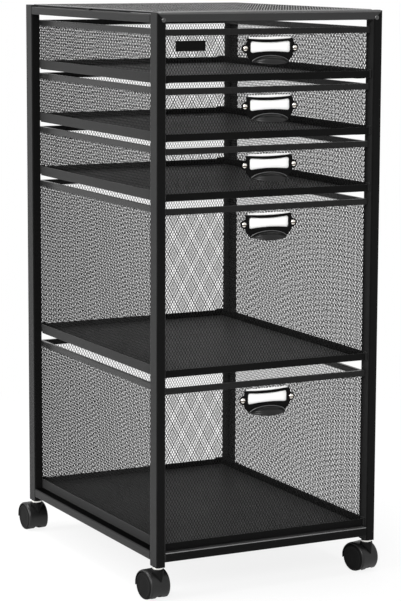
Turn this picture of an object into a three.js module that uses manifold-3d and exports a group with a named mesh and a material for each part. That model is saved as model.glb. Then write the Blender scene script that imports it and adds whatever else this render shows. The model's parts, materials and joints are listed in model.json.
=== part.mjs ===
// Mobile file cart: a welded tube frame on four swivel casters, with five mesh drawers on angle runners.
// Millimetres, +Z up, front towards -Y. The origin is on the floor, in the middle of the cart's outline.

import * as THREE from 'three';
import { mergeVertices } from 'three/addons/utils/BufferGeometryUtils.js';
import Module from 'manifold-3d';

// Frame
const FRAME_WIDTH = 311; // over the posts, left to right
const FRAME_DEPTH = 400; // over the posts, front to back
const POST_WIDTH = 12; // tube side seen from the front
const POST_DEPTH = 20; // tube side seen from the left or right
const TUBE_WALL = 1.2;
const TUBE_CORNER = 1.8; // radius of the tube's long edges
const RAIL_HEIGHT = 10; // top side rails
const CROSS_RAIL_HEIGHT = 11.5; // top front and back rails
const SIDE_RAIL_DROP = 2.5; // top side rails lie this far below the post ends
const BOTTOM_RAIL_LIFT = 6; // from the post's lower end up to the bottom rails
const BOTTOM_RAIL_HEIGHT = 11.8;
const DRAWER_CLEARANCE = 1.5; // lowest drawer above the bottom rails
const PLUG_LENGTH = 32; // solid end of each post that takes a caster stem
const SEAT = 0.3; // gap left between pieces that rest on or in each other
const CUT_OVERRUN = 5; // how far cutting tools reach past the surface they cut

// Top panel
const PANEL_INSET = 3.5; // panel edge inside the side rails' outer faces
const PANEL_RISE = 1; // above the post ends
const PANEL_SHEET = 1.5;
const PANEL_FLANGE = 3; // width of the folded flange that rests on the side rails
const PANEL_FLANGE_INSET = 4; // flange behind the panel's edge
const PANEL_MARGIN = 6; // plain sheet from the flange to the first openings

// Drawers, listed from the top
const SHALLOW_HEIGHT = 63.2;
const DEEP_HEIGHT = 205.8;
const LOWEST_HEIGHT = 202.2;
const DRAWER_HEIGHTS = [SHALLOW_HEIGHT, SHALLOW_HEIGHT, SHALLOW_HEIGHT, DEEP_HEIGHT, LOWEST_HEIGHT];
const GAP_BELOW_1 = 7; // from a drawer's floor down to the rim of the next drawer
const GAP_BELOW_2 = 8.5;
const GAP_BELOW_3 = 9.2;
const GAP_BELOW_4 = 13.3;
const DRAWER_GAPS = [GAP_BELOW_1, GAP_BELOW_2, GAP_BELOW_3, GAP_BELOW_4];
const TOP_GAP = 7.8; // from the uppermost rim to the side rails
const DRAWER_RECESS = 6; // drawer front behind the posts' front faces
const DRAWER_BACK_RECESS = 5; // drawer back in front of the posts' rear faces
const DRAWER_SIDE_PLAY = 0.6; // between a drawer and its runner's upright leg
const TRAY_BAND = 9; // height of the band round the drawer's foot
const TRAY_WALL = 1.2;
const TRAY_FLOOR = 1.2;
const MESH_SHEET = 1;
const RIM_HEIGHT = 7.5;
const RIM_WIDTH = 5;
const RIM_LIP = 1.2; // outer leg of the rim, in front of the mesh
const RIM_GROOVE = 4.5; // how deep the mesh reaches into the rim

// The expanded mesh of the walls and the top is drawn as a plain coarse grid of openings.
const OPENING_PITCH = 52; // openings are set out as near to this as the wall's length allows
const OPENING_ROW = 58; // and their rows to this
const OPENING_BAR = 7; // mesh left between two openings
const OPENING_MARGIN = 3; // from the band, the rim and the drawer's corners to the first openings

// Runners: angles fixed to the front and rear posts, with a ledge between them and an end stop behind the drawer
const RUNNER_SHEET = 1.2;
const RUNNER_HEIGHT = 12;
const RUNNER_LEDGE = 12;
const RUNNER_END = 3; // runner ends short of the posts' outer faces
const RUNNER_APRON = 4; // the lowest runners hang down this far behind the bottom rails

// The posts are as long as the stack of drawers between the bottom and top rails asks for.
const FLOOR_LIFT = BOTTOM_RAIL_LIFT + BOTTOM_RAIL_HEIGHT + DRAWER_CLEARANCE; // post end to the lowest drawer
const STACK_HEIGHT = [...DRAWER_HEIGHTS, ...DRAWER_GAPS].reduce((sum, height) => sum + height, 0);
const POST_LENGTH = FLOOR_LIFT + STACK_HEIGHT + TOP_GAP + RAIL_HEIGHT + SIDE_RAIL_DROP;

// Label-holder pulls; heights are measured from the line through the two rivets
const PULL_DROP = 24; // rivet line below the drawer's rim
const PULL_SHEET = 1.4;
const PULL_HALF_WIDTH = 32;
const PULL_TOP = 12;
const PULL_TOP_DIP = 1.4; // the upper edge sags this much in the middle
const EAR_REACH = 7; // ears stand out past the plate
const EAR_HALF_HEIGHT = 5.5;
const WINDOW_FRAME = 3.5; // plate left at both sides of the window
const WINDOW_HALF_WIDTH = PULL_HALF_WIDTH - WINDOW_FRAME;
const WINDOW_LIFT = 1.6; // window's middle above the rivet line
const WINDOW_HALF_HEIGHT = 7.6;
const WINDOW_WAIST = 1.4; // the window narrows this much in the middle, above and below
const CUP_INSET = 6; // cup inside the plate's sides
const CUP_HALF_WIDTH = PULL_HALF_WIDTH - CUP_INSET;
const CUP_REACH = 12.5; // how far the cup stands out in front of the plate
const CUP_RISE = 9.5;
const CUP_LIP = -18.5; // lower edge of the cup in its middle
const CUP_LIP_BOW = 3; // the lower edge rises this much towards its ends
const PLATE_SHOULDER = -9; // below this level the plate's sides slant in to the cup
const CUP_SHEET = 1.4;
const CUP_SEGMENTS = 20;

// Casters
const CASTER_HEIGHT = 42.8; // floor to post end
const WHEEL_RADIUS = 17.5;
const WHEEL_WIDTH = 11.5;
const WHEEL_EDGE = 1.6; // rounding of the tread's outer edge
const WHEEL_INNER_EDGE = 5; // and of its edge at the web
const WHEEL_DISH = 1; // hollow in the wheel's outer face
const WHEEL_HUB_RADIUS = 5;
const WHEEL_BORE_DEPTH = 8.5;
const WHEEL_SIDE_PLAY = 0.5; // wheel to web
const HOOD_WEB = 4; // web between the wheels
const HOOD_WALL = 1.6;
const HOOD_PLAY = 1; // tread to hood
const HOOD_SKIRT = 8.9; // the hood's open edge passes this far below the axle
const HOOD_TILT = -72; // degrees, direction in which the hood is open, seen from the right
const HOOD_SHOULDER = 2.5; // the hood's sides round off over this width
const HOOD_SHOULDER_DROP = 1.8;
const ARCH_RADIUS = 6; // arch in the hood's lower edge, between the wheels
const ARCH_LEVEL = 1; // its middle above the floor
const CASTER_TRAIL = 11; // axle behind the stem
const AXLE_RADIUS = 2;
const AXLE_PLAY = 0.3;
const STEM_RADIUS = 3;
const STEM_PLAY = 0.3;
const STEM_LENGTH = 24; // inside the post
const COLLAR_RADIUS = 6.5;
const COLLAR_HEIGHT = 2.8; // bare ring under the post
const NECK_RADIUS = 8;
const ROUND_SEGMENTS = 24;
const CASTER_SWIVEL = { front_left: 7, front_right: 14, rear_left: 2, rear_right: 7 }; // degrees at rest

const wasm = await Module();
wasm.setup();

// Turns a closed three.js geometry into a solid that can be joined and cut.
function solid(geometry) {
  geometry.deleteAttribute('normal');
  geometry.deleteAttribute('uv');
  const merged = mergeVertices(geometry, 1e-4);
  const corners = merged.index.array;
  const triangles = [];
  for (let i = 0; i < corners.length; i += 3) {
    const [a, b, c] = [corners[i], corners[i + 1], corners[i + 2]];
    if (a !== b && b !== c && c !== a) triangles.push(a, b, c);
  }
  const mesh = new wasm.Mesh({
    numProp: 3,
    vertProperties: new Float32Array(merged.attributes.position.array),
    triVerts: new Uint32Array(triangles),
  });
  return new wasm.Manifold(mesh);
}

function geometryOf(body) {
  const mesh = body.getMesh();
  const geometry = new THREE.BufferGeometry();
  geometry.setAttribute('position', new THREE.BufferAttribute(new Float32Array(mesh.vertProperties), 3));
  geometry.setIndex(new THREE.BufferAttribute(new Uint32Array(mesh.triVerts), 1));
  geometry.computeVertexNormals();
  return geometry;
}

function block([x0, y0, z0], [x1, y1, z1]) {
  const geometry = new THREE.BoxGeometry(x1 - x0, y1 - y0, z1 - z0);
  geometry.translate((x0 + x1) / 2, (y0 + y1) / 2, (z0 + z1) / 2);
  return solid(geometry);
}

function rod(radius, from, to, axis, segments = ROUND_SEGMENTS) {
  const geometry = new THREE.CylinderGeometry(radius, radius, to - from, segments);
  geometry.translate(0, (from + to) / 2, 0);
  if (axis === 'x') geometry.rotateZ(-Math.PI / 2);
  if (axis === 'z') geometry.rotateX(Math.PI / 2);
  return solid(geometry);
}

function outline(points) {
  return new THREE.Shape(points.map(([a, b]) => new THREE.Vector2(a, b)));
}

function roundedOutline(width, height, radius) {
  const [w, h] = [width / 2, height / 2];
  const shape = new THREE.Shape();
  shape.absarc(w - radius, h - radius, radius, 0, Math.PI / 2);
  shape.absarc(-w + radius, h - radius, radius, Math.PI / 2, Math.PI);
  shape.absarc(-w + radius, -h + radius, radius, Math.PI, 1.5 * Math.PI);
  shape.absarc(w - radius, -h + radius, radius, 1.5 * Math.PI, 2 * Math.PI);
  return shape;
}

// Extrudes an outline drawn in the plane seen along the axis: XY for z, XZ for y (from the front), YZ for x.
function prism(shape, from, to, axis, curveSegments = 2) {
  const geometry = new THREE.ExtrudeGeometry(shape, { depth: to - from, bevelEnabled: false, curveSegments });
  geometry.translate(0, 0, from);
  if (axis === 'y') geometry.applyMatrix4(new THREE.Matrix4().set(1, 0, 0, 0, 0, 0, 1, 0, 0, 1, 0, 0, 0, 0, 0, 1));
  if (axis === 'x') geometry.applyMatrix4(new THREE.Matrix4().set(0, 0, 1, 0, 1, 0, 0, 0, 0, 1, 0, 0, 0, 0, 0, 1));
  // Swapping two axes mirrors the triangles, so their winding is turned round again.
  if (axis === 'y') turnFaces(geometry);
  return solid(geometry);
}

function turnFaces(geometry) {
  const position = geometry.attributes.position;
  for (let i = 0; i < position.count; i += 3) {
    const [b, c] = [i + 1, i + 2].map((k) => new THREE.Vector3().fromBufferAttribute(position, k));
    position.setXYZ(i + 1, c.x, c.y, c.z);
    position.setXYZ(i + 2, b.x, b.y, b.z);
  }
}

function latheX(points, segments = ROUND_SEGMENTS) {
  const profile = points.map(([radius, along]) => new THREE.Vector2(radius, along));
  const geometry = new THREE.LatheGeometry(profile, segments);
  geometry.rotateZ(-Math.PI / 2);
  return solid(geometry);
}

function finish(color, roughness, metalness) {
  return () => new THREE.MeshStandardMaterial({ color, roughness, metalness });
}

const blackCoat = finish(0x1c1c1d, 0.5, 0.3);
const blackMesh = finish(0x232324, 0.55, 0.3);
const blackPlastic = finish(0x151516, 0.6, 0);
const blackTread = finish(0x101011, 0.75, 0);
const brightSteel = finish(0xb9b9b6, 0.3, 1);

function piece(name, body, material) {
  const mesh = new THREE.Mesh(geometryOf(body), material());
  mesh.name = name;
  return mesh;
}

const cart = new THREE.Group();

// Levels and widths that several pieces share
const postEnd = CASTER_HEIGHT;
const postTop = postEnd + POST_LENGTH;
const sideX = FRAME_WIDTH / 2;
const frontY = -FRAME_DEPTH / 2;
const backY = FRAME_DEPTH / 2;
const postInnerX = sideX - POST_WIDTH;
const corners = [
  { name: 'front_left', x: -1, y: -1 },
  { name: 'front_right', x: 1, y: -1 },
  { name: 'rear_left', x: -1, y: 1 },
  { name: 'rear_right', x: 1, y: 1 },
];

function tubeHollow(width, height) {
  const [w, h] = [width / 2 - TUBE_WALL, height / 2 - TUBE_WALL];
  return outline([[w, h], [-w, h], [-w, -h], [w, -h]]);
}

// A tube of the frame, open at both ends
function tube(width, height, from, to, axis) {
  const body = prism(roundedOutline(width, height, TUBE_CORNER), from, to, axis);
  return body.subtract(prism(tubeHollow(width, height), from - CUT_OVERRUN, to + CUT_OVERRUN, axis));
}

// Posts are drawn for the right-hand side and mirrored: the mitre faces inwards.
// The tube is hollow above the plug, and the plug is bored for the caster stem.
function post(side) {
  const full = prism(roundedOutline(POST_WIDTH, POST_DEPTH, TUBE_CORNER), 0, POST_LENGTH, 'z');
  const hollow = tubeHollow(POST_WIDTH, POST_DEPTH);
  const bore = rod(STEM_RADIUS + STEM_PLAY, -CUT_OVERRUN, PLUG_LENGTH + CUT_OVERRUN, 'z', 16);
  const half = POST_WIDTH / 2;
  const mitre = prism(outline([
    [half * side, POST_LENGTH],
    [-half * side, POST_LENGTH - CROSS_RAIL_HEIGHT],
    [-(half + CUT_OVERRUN) * side, POST_LENGTH - CROSS_RAIL_HEIGHT],
    [-(half + CUT_OVERRUN) * side, POST_LENGTH + CUT_OVERRUN],
    [half * side, POST_LENGTH + CUT_OVERRUN],
  ]), -POST_DEPTH, POST_DEPTH, 'y');
  return full
    .subtract(prism(hollow, PLUG_LENGTH, POST_LENGTH - TUBE_WALL, 'z'))
    .subtract(bore)
    .subtract(mitre);
}

for (const corner of corners) {
  const mesh = piece(`post_${corner.name}`, post(corner.x), blackCoat);
  mesh.position.set(
    corner.x * (sideX - POST_WIDTH / 2),
    corner.y * (backY - POST_DEPTH / 2),
    postEnd,
  );
  cart.add(mesh);
}

// Front and back top rails meet the posts in a mitre; a seat gap is left along the cut.
function mitredRail() {
  const rail = tube(POST_DEPTH, CROSS_RAIL_HEIGHT, -sideX, sideX, 'x');
  const half = CROSS_RAIL_HEIGHT / 2;
  const shift = SEAT * Math.hypot(POST_WIDTH, CROSS_RAIL_HEIGHT) / CROSS_RAIL_HEIGHT;
  const kept = outline([
    [-sideX + shift, half],
    [-postInnerX + shift, -half],
    [postInnerX - shift, -half],
    [sideX - shift, half],
  ]);
  return rail.intersect(prism(kept, -POST_DEPTH, POST_DEPTH, 'y'));
}

const acrossLength = postInnerX - SEAT;
const alongLength = backY - POST_DEPTH - SEAT;
const bottomRailMiddle = postEnd + BOTTOM_RAIL_LIFT + BOTTOM_RAIL_HEIGHT / 2;
for (const [name, y] of [['front', -1], ['back', 1]]) {
  const top = piece(`top_rail_${name}`, mitredRail(), blackCoat);
  top.position.set(0, y * (backY - POST_DEPTH / 2), postTop - CROSS_RAIL_HEIGHT / 2);
  const bottomRail = tube(POST_DEPTH, BOTTOM_RAIL_HEIGHT, -acrossLength, acrossLength, 'x');
  const bottom = piece(`bottom_rail_${name}`, bottomRail, blackCoat);
  bottom.position.set(0, y * (backY - POST_DEPTH / 2), bottomRailMiddle);
  cart.add(top, bottom);
}
for (const [name, x] of [['left', -1], ['right', 1]]) {
  const railX = x * (sideX - POST_WIDTH / 2);
  const rail = (height) => tube(POST_WIDTH, height, -alongLength, alongLength, 'y');
  const top = piece(`top_rail_${name}`, rail(RAIL_HEIGHT), blackCoat);
  top.position.set(railX, 0, postTop - SIDE_RAIL_DROP - RAIL_HEIGHT / 2);
  const bottom = piece(`bottom_rail_${name}`, rail(BOTTOM_RAIL_HEIGHT), blackCoat);
  bottom.position.set(railX, 0, bottomRailMiddle);
  cart.add(top, bottom);
}

// Openings set out evenly over a span, with a bar between neighbours. An even count keeps a bar in the middle.
function openingsOver(from, to, pitch, even = false) {
  const length = to - from;
  const step = even ? 2 : 1;
  const count = Math.max(step, step * Math.round(length / pitch / step));
  const width = (length - (count - 1) * OPENING_BAR) / count;
  return Array.from({ length: count }, (_, i) => {
    const start = from + i * (width + OPENING_BAR);
    return [start, start + width];
  });
}

// Top panel: a sheet between the front and back rails, on a folded flange that rests on the side rails
const panelTop = postTop + PANEL_RISE;
const flangeFoot = postTop - SIDE_RAIL_DROP + SEAT;
const panelX = sideX - PANEL_INSET;
const flangeX = panelX - PANEL_FLANGE_INSET;
const flangeY = alongLength - PANEL_FLANGE_INSET;
const panelBody = block([-panelX, -alongLength, panelTop - PANEL_SHEET], [panelX, alongLength, panelTop])
  .add(block([-flangeX, -flangeY, flangeFoot], [flangeX, flangeY, panelTop - PANEL_SHEET / 2]))
  .subtract(block(
    [-flangeX + PANEL_FLANGE, -flangeY + PANEL_FLANGE, flangeFoot - CUT_OVERRUN],
    [flangeX - PANEL_FLANGE, flangeY - PANEL_FLANGE, panelTop - PANEL_SHEET],
  ));
const panelSpanX = flangeX - PANEL_FLANGE - PANEL_MARGIN;
const panelSpanY = flangeY - PANEL_FLANGE - PANEL_MARGIN;
let panelGrid = panelBody;
for (const [x0, x1] of openingsOver(-panelSpanX, panelSpanX, OPENING_PITCH, true)) {
  for (const [y0, y1] of openingsOver(-panelSpanY, panelSpanY, OPENING_PITCH, true)) {
    panelGrid = panelGrid.subtract(block([x0, y0, flangeFoot], [x1, y1, panelTop + CUT_OVERRUN]));
  }
}
const panel = piece('top_panel', panelGrid, blackMesh);
cart.add(panel);

// Drawers and their runners
const runnerOuterX = postInnerX - SEAT;
const drawerHalfWidth = runnerOuterX - RUNNER_SHEET - DRAWER_SIDE_PLAY;
const drawerFront = frontY + DRAWER_RECESS;
const drawerBack = backY - DRAWER_BACK_RECESS;
const meshInset = TRAY_WALL + SEAT; // mesh behind the outer face of the band and the rim
const meshHalfWidth = drawerHalfWidth - meshInset;
const meshFront = drawerFront + meshInset;
const meshBack = drawerBack - meshInset;

function trayBody() {
  const outer = block([-drawerHalfWidth, drawerFront, 0], [drawerHalfWidth, drawerBack, TRAY_BAND]);
  const inside = block(
    [-drawerHalfWidth + TRAY_WALL, drawerFront + TRAY_WALL, TRAY_FLOOR],
    [drawerHalfWidth - TRAY_WALL, drawerBack - TRAY_WALL, TRAY_BAND + CUT_OVERRUN],
  );
  return outer.subtract(inside);
}

// An upright ring of sheet round the drawer, between two levels
function sleeve(outset, thickness, from, to) {
  const [w, front, back] = [meshHalfWidth + outset, meshFront - outset, meshBack + outset];
  const outer = block([-w, front, from], [w, back, to]);
  const inner = block(
    [-w + thickness, front + thickness, from - CUT_OVERRUN],
    [w - thickness, back - thickness, to + CUT_OVERRUN],
  );
  return outer.subtract(inner);
}

function rimBody(height) {
  const lip = sleeve(RIM_LIP + SEAT, RIM_WIDTH, height - RIM_HEIGHT, height);
  const grooveFrom = height - RIM_HEIGHT - CUT_OVERRUN;
  const groove = sleeve(SEAT, MESH_SHEET + 2 * SEAT, grooveFrom, height - RIM_HEIGHT + RIM_GROOVE);
  return lip.subtract(groove);
}

// Each cut runs straight through two opposite walls.
function meshBody(height) {
  let body = sleeve(0, MESH_SHEET, TRAY_FLOOR + SEAT, height - RIM_HEIGHT + RIM_GROOVE - SEAT);
  const corner = RIM_WIDTH + OPENING_MARGIN;
  const rows = openingsOver(TRAY_BAND + OPENING_MARGIN, height - RIM_HEIGHT - OPENING_MARGIN, OPENING_ROW);
  const across = openingsOver(-meshHalfWidth + corner, meshHalfWidth - corner, OPENING_PITCH);
  const along = openingsOver(meshFront + corner, meshBack - corner, OPENING_PITCH);
  for (const [z0, z1] of rows) {
    for (const [x0, x1] of across) {
      body = body.subtract(block([x0, meshFront - CUT_OVERRUN, z0], [x1, meshBack + CUT_OVERRUN, z1]));
    }
    for (const [y0, y1] of along) {
      body = body.subtract(block([-meshHalfWidth - CUT_OVERRUN, y0, z0], [meshHalfWidth + CUT_OVERRUN, y1, z1]));
    }
  }
  return body;
}

// Label frame with two ears, and below it a cup that stands out for the fingers.
// Drawn round the rivet line, with the back of the plate at y = 0 and the cup towards -y.
function pullBody() {
  const plate = new THREE.Shape();
  const earX = PULL_HALF_WIDTH + EAR_REACH;
  const lipEnd = CUP_LIP + CUP_LIP_BOW;
  const lipControl = CUP_LIP - CUP_LIP_BOW;
  plate.moveTo(-PULL_HALF_WIDTH, PULL_TOP);
  plate.lineTo(-PULL_HALF_WIDTH, EAR_HALF_HEIGHT);
  plate.quadraticCurveTo(-earX, EAR_HALF_HEIGHT, -earX, 0);
  plate.quadraticCurveTo(-earX, -EAR_HALF_HEIGHT, -PULL_HALF_WIDTH, -EAR_HALF_HEIGHT);
  plate.lineTo(-PULL_HALF_WIDTH, PLATE_SHOULDER);
  plate.lineTo(-CUP_HALF_WIDTH, lipEnd);
  plate.quadraticCurveTo(0, lipControl, CUP_HALF_WIDTH, lipEnd);
  plate.lineTo(PULL_HALF_WIDTH, PLATE_SHOULDER);
  plate.lineTo(PULL_HALF_WIDTH, -EAR_HALF_HEIGHT);
  plate.quadraticCurveTo(earX, -EAR_HALF_HEIGHT, earX, 0);
  plate.quadraticCurveTo(earX, EAR_HALF_HEIGHT, PULL_HALF_WIDTH, EAR_HALF_HEIGHT);
  plate.lineTo(PULL_HALF_WIDTH, PULL_TOP);
  plate.quadraticCurveTo(0, PULL_TOP - 2 * PULL_TOP_DIP, -PULL_HALF_WIDTH, PULL_TOP);

  const window = new THREE.Shape();
  const windowLow = WINDOW_LIFT - WINDOW_HALF_HEIGHT;
  const windowHigh = WINDOW_LIFT + WINDOW_HALF_HEIGHT;
  window.moveTo(-WINDOW_HALF_WIDTH, windowLow);
  window.quadraticCurveTo(0, windowLow + 2 * WINDOW_WAIST, WINDOW_HALF_WIDTH, windowLow);
  window.lineTo(WINDOW_HALF_WIDTH, windowHigh);
  window.quadraticCurveTo(0, windowHigh - 2 * WINDOW_WAIST, -WINDOW_HALF_WIDTH, windowHigh);
  window.closePath();

  const cup = (shrink) => {
    const geometry = new THREE.SphereGeometry(1, CUP_SEGMENTS, CUP_SEGMENTS / 2);
    geometry.rotateX(Math.PI / 2);
    geometry.scale(CUP_HALF_WIDTH - shrink, CUP_REACH + PULL_SHEET - shrink, CUP_RISE - shrink);
    geometry.translate(0, 0, CUP_LIP);
    return solid(geometry);
  };
  const reach = CUP_REACH + PULL_SHEET + CUT_OVERRUN;
  // What is kept of the cup lies above its bowed lower edge.
  const above = new THREE.Shape();
  above.moveTo(-CUP_HALF_WIDTH, lipEnd);
  above.quadraticCurveTo(0, lipControl, CUP_HALF_WIDTH, lipEnd);
  above.lineTo(CUP_HALF_WIDTH, CUP_LIP + CUP_RISE + CUT_OVERRUN);
  above.lineTo(-CUP_HALF_WIDTH, CUP_LIP + CUP_RISE + CUT_OVERRUN);
  above.closePath();
  return prism(plate, -PULL_SHEET, 0, 'y', 8)
    .subtract(prism(window, -PULL_SHEET - CUT_OVERRUN, CUT_OVERRUN, 'y', 8))
    .add(cup(0).intersect(prism(above, -reach, 0, 'y', 8)))
    .subtract(cup(CUP_SHEET));
}

// Angle runner with its end stop. The upright leg reaches past the posts, clear of the bottom rails; the ledge
// stays between them.
function runnerBody(side, apron) {
  const upright = side * runnerOuterX;
  const inner = side * (runnerOuterX - RUNNER_SHEET);
  const ledgeTip = side * (runnerOuterX - RUNNER_LEDGE);
  const span = (a, b) => [Math.min(a, b), Math.max(a, b)];
  const from = frontY + RUNNER_END;
  const to = backY - RUNNER_END;
  const stopFrom = drawerBack + SEAT;
  const [u0, u1] = span(upright, inner);
  const [l0, l1] = span(upright, ledgeTip);
  const clear = RUNNER_SHEET + SEAT;
  return block([u0, from, clear], [u1, to, RUNNER_HEIGHT])
    .add(block([u0, -alongLength, -apron], [u1, alongLength, RUNNER_HEIGHT]))
    .add(block([l0, -alongLength, 0], [l1, alongLength, RUNNER_SHEET]))
    .add(block([l0, stopFrom, clear], [l1, stopFrom + RUNNER_SHEET, RUNNER_HEIGHT]));
}

let floorLevel = postEnd + FLOOR_LIFT;
const floorLevels = [];
for (let index = DRAWER_HEIGHTS.length - 1; index >= 0; index -= 1) {
  floorLevels[index] = floorLevel;
  if (index > 0) floorLevel += DRAWER_HEIGHTS[index] + DRAWER_GAPS[index - 1];
}

DRAWER_HEIGHTS.forEach((height, index) => {
  const label = `drawer_${index + 1}`;
  const drawer = new THREE.Group();
  drawer.position.z = floorLevels[index];
  const pull = piece(`${label}_pull`, pullBody(), blackCoat);
  pull.position.set(0, meshFront - SEAT, height - PULL_DROP);
  drawer.add(
    piece(`${label}_tray`, trayBody(), blackCoat),
    piece(`${label}_mesh`, meshBody(height), blackMesh),
    piece(`${label}_rim`, rimBody(height), blackCoat),
    pull,
  );
  cart.add(drawer);
  const apron = index === DRAWER_HEIGHTS.length - 1 ? RUNNER_APRON : 0;
  for (const [name, side] of [['left', -1], ['right', 1]]) {
    const runner = piece(`runner_${index + 1}_${name}`, runnerBody(side, apron), blackCoat);
    runner.position.z = floorLevels[index] - SEAT - RUNNER_SHEET;
    cart.add(runner);
  }
});

// Casters: drawn round the stem, with the floor at z = 0 and the wheels trailing towards +y
const hoodInner = WHEEL_RADIUS + HOOD_PLAY;
const hoodOuter = hoodInner + HOOD_WALL;
const wheelInnerFace = HOOD_WEB / 2 + WHEEL_SIDE_PLAY;
const hoodHalfWidth = wheelInnerFace + WHEEL_WIDTH;
const axleHalfLength = wheelInnerFace + WHEEL_BORE_DEPTH - AXLE_PLAY;

// Hood, web, neck, bright collar and stem are one turned and moulded piece.
function hoodBody() {
  const open = THREE.MathUtils.degToRad(HOOD_TILT);
  const shoulder = hoodOuter - HOOD_SHOULDER_DROP;
  const drum = latheX([
    [0, -hoodHalfWidth],
    [shoulder, -hoodHalfWidth],
    [hoodOuter - 0.3 * HOOD_SHOULDER_DROP, -hoodHalfWidth + 0.45 * HOOD_SHOULDER],
    [hoodOuter, -hoodHalfWidth + HOOD_SHOULDER],
    [hoodOuter, hoodHalfWidth - HOOD_SHOULDER],
    [hoodOuter - 0.3 * HOOD_SHOULDER_DROP, hoodHalfWidth - 0.45 * HOOD_SHOULDER],
    [shoulder, hoodHalfWidth],
    [0, hoodHalfWidth],
  ], 2 * ROUND_SEGMENTS);
  // The open side is cut off square to the direction in which the hood is open.
  const reach = hoodOuter + CUT_OVERRUN;
  const across = (distance, sideways) => [
    distance * Math.cos(open) - sideways * Math.sin(open),
    distance * Math.sin(open) + sideways * Math.cos(open),
  ];
  const openSide = prism(outline([
    across(HOOD_SKIRT, -reach), across(reach, -reach), across(reach, reach), across(HOOD_SKIRT, reach),
  ]), -hoodHalfWidth - CUT_OVERRUN, hoodHalfWidth + CUT_OVERRUN, 'x');
  const arch = rod(ARCH_RADIUS, CASTER_TRAIL - reach, CASTER_TRAIL, 'y', 16);
  const collarTop = CASTER_HEIGHT - SEAT;
  const neckTop = collarTop - COLLAR_HEIGHT;
  const pocket = (sign) => {
    const faces = [sign * HOOD_WEB / 2, sign * (hoodHalfWidth + CUT_OVERRUN)];
    const cut = rod(hoodInner, Math.min(...faces), Math.max(...faces), 'x');
    return cut.translate([0, CASTER_TRAIL, WHEEL_RADIUS]);
  };
  const axleBore = rod(AXLE_RADIUS + AXLE_PLAY, -hoodHalfWidth, hoodHalfWidth, 'x', 16);
  return drum.subtract(openSide).translate([0, CASTER_TRAIL, WHEEL_RADIUS])
    .add(rod(NECK_RADIUS, WHEEL_RADIUS, neckTop, 'z'))
    .subtract(arch.translate([0, 0, ARCH_LEVEL]))
    .subtract(pocket(1))
    .subtract(pocket(-1))
    .subtract(axleBore.translate([0, CASTER_TRAIL, WHEEL_RADIUS]))
    .add(rod(COLLAR_RADIUS, neckTop - HOOD_WALL, collarTop, 'z'))
    .add(rod(STEM_RADIUS, collarTop - HOOD_WALL, CASTER_HEIGHT + STEM_LENGTH, 'z', 16));
}

// Wheel on its own axis: along = 0 is the face at the web, and the outer face is dished round a hub.
function wheelBody() {
  const bore = AXLE_RADIUS + AXLE_PLAY;
  const tread = WHEEL_RADIUS - WHEEL_EDGE;
  return latheX([
    [0, WHEEL_BORE_DEPTH],
    [bore, WHEEL_BORE_DEPTH],
    [bore, 0],
    [WHEEL_RADIUS - WHEEL_INNER_EDGE, 0],
    [WHEEL_RADIUS - 0.5 * WHEEL_INNER_EDGE, 0.134 * WHEEL_INNER_EDGE],
    [WHEEL_RADIUS - 0.134 * WHEEL_INNER_EDGE, 0.5 * WHEEL_INNER_EDGE],
    [WHEEL_RADIUS, WHEEL_INNER_EDGE],
    [WHEEL_RADIUS, WHEEL_WIDTH - WHEEL_EDGE],
    [WHEEL_RADIUS - 0.3 * WHEEL_EDGE, WHEEL_WIDTH - 0.3 * WHEEL_EDGE],
    [tread, WHEEL_WIDTH],
    [tread - WHEEL_EDGE, WHEEL_WIDTH],
    [tread - WHEEL_EDGE - WHEEL_DISH, WHEEL_WIDTH - WHEEL_DISH],
    [WHEEL_HUB_RADIUS + WHEEL_DISH, WHEEL_WIDTH - WHEEL_DISH],
    [WHEEL_HUB_RADIUS, WHEEL_WIDTH],
    [0, WHEEL_WIDTH],
  ]);
}

for (const corner of corners) {
  const caster = new THREE.Group();
  caster.position.set(corner.x * (sideX - POST_WIDTH / 2), corner.y * (backY - POST_DEPTH / 2), 0);
  caster.rotation.z = THREE.MathUtils.degToRad(CASTER_SWIVEL[corner.name]);
  const label = `caster_${corner.name}`;
  const axle = piece(`${label}_axle`, rod(AXLE_RADIUS, -axleHalfLength, axleHalfLength, 'x', 16), brightSteel);
  axle.position.set(0, CASTER_TRAIL, WHEEL_RADIUS);
  caster.add(piece(`${label}_hood`, hoodBody(), blackPlastic), axle);
  for (const [name, side] of [['left', -1], ['right', 1]]) {
    const wheel = piece(`${label}_wheel_${name}`, wheelBody(), blackTread);
    wheel.position.set(side * wheelInnerFace, CASTER_TRAIL, WHEEL_RADIUS);
    wheel.rotation.z = side < 0 ? Math.PI : 0;
    caster.add(wheel);
  }
  cart.add(caster);
}

// The origin goes to the middle of the cart's outline, at floor level.
const part = new THREE.Group();
part.add(cart);
part.updateMatrixWorld(true);
const bounds = new THREE.Box3().setFromObject(part, true);
const middle = bounds.getCenter(new THREE.Vector3());
cart.position.set(-middle.x, -middle.y, -bounds.min.z);
part.updateMatrixWorld(true);

export default part;
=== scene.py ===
# %% [markdown]
# # A mobile file cart, dressed
# The cart is a welded frame of black steel tube on four casters. Five drawers of expanded steel
# mesh slide between its posts. The solids of every part arrive as a fixed frame, already at
# their real size, so this lesson only adds what the eye needs: softened edges, the mesh itself,
# pressed pulls with their cards and rivets, moulded casters, and the finish of each surface.

# %% Load the frame
import json
import math

import bmesh
import bpy
from mathutils import Matrix, Vector, kdtree


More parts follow.
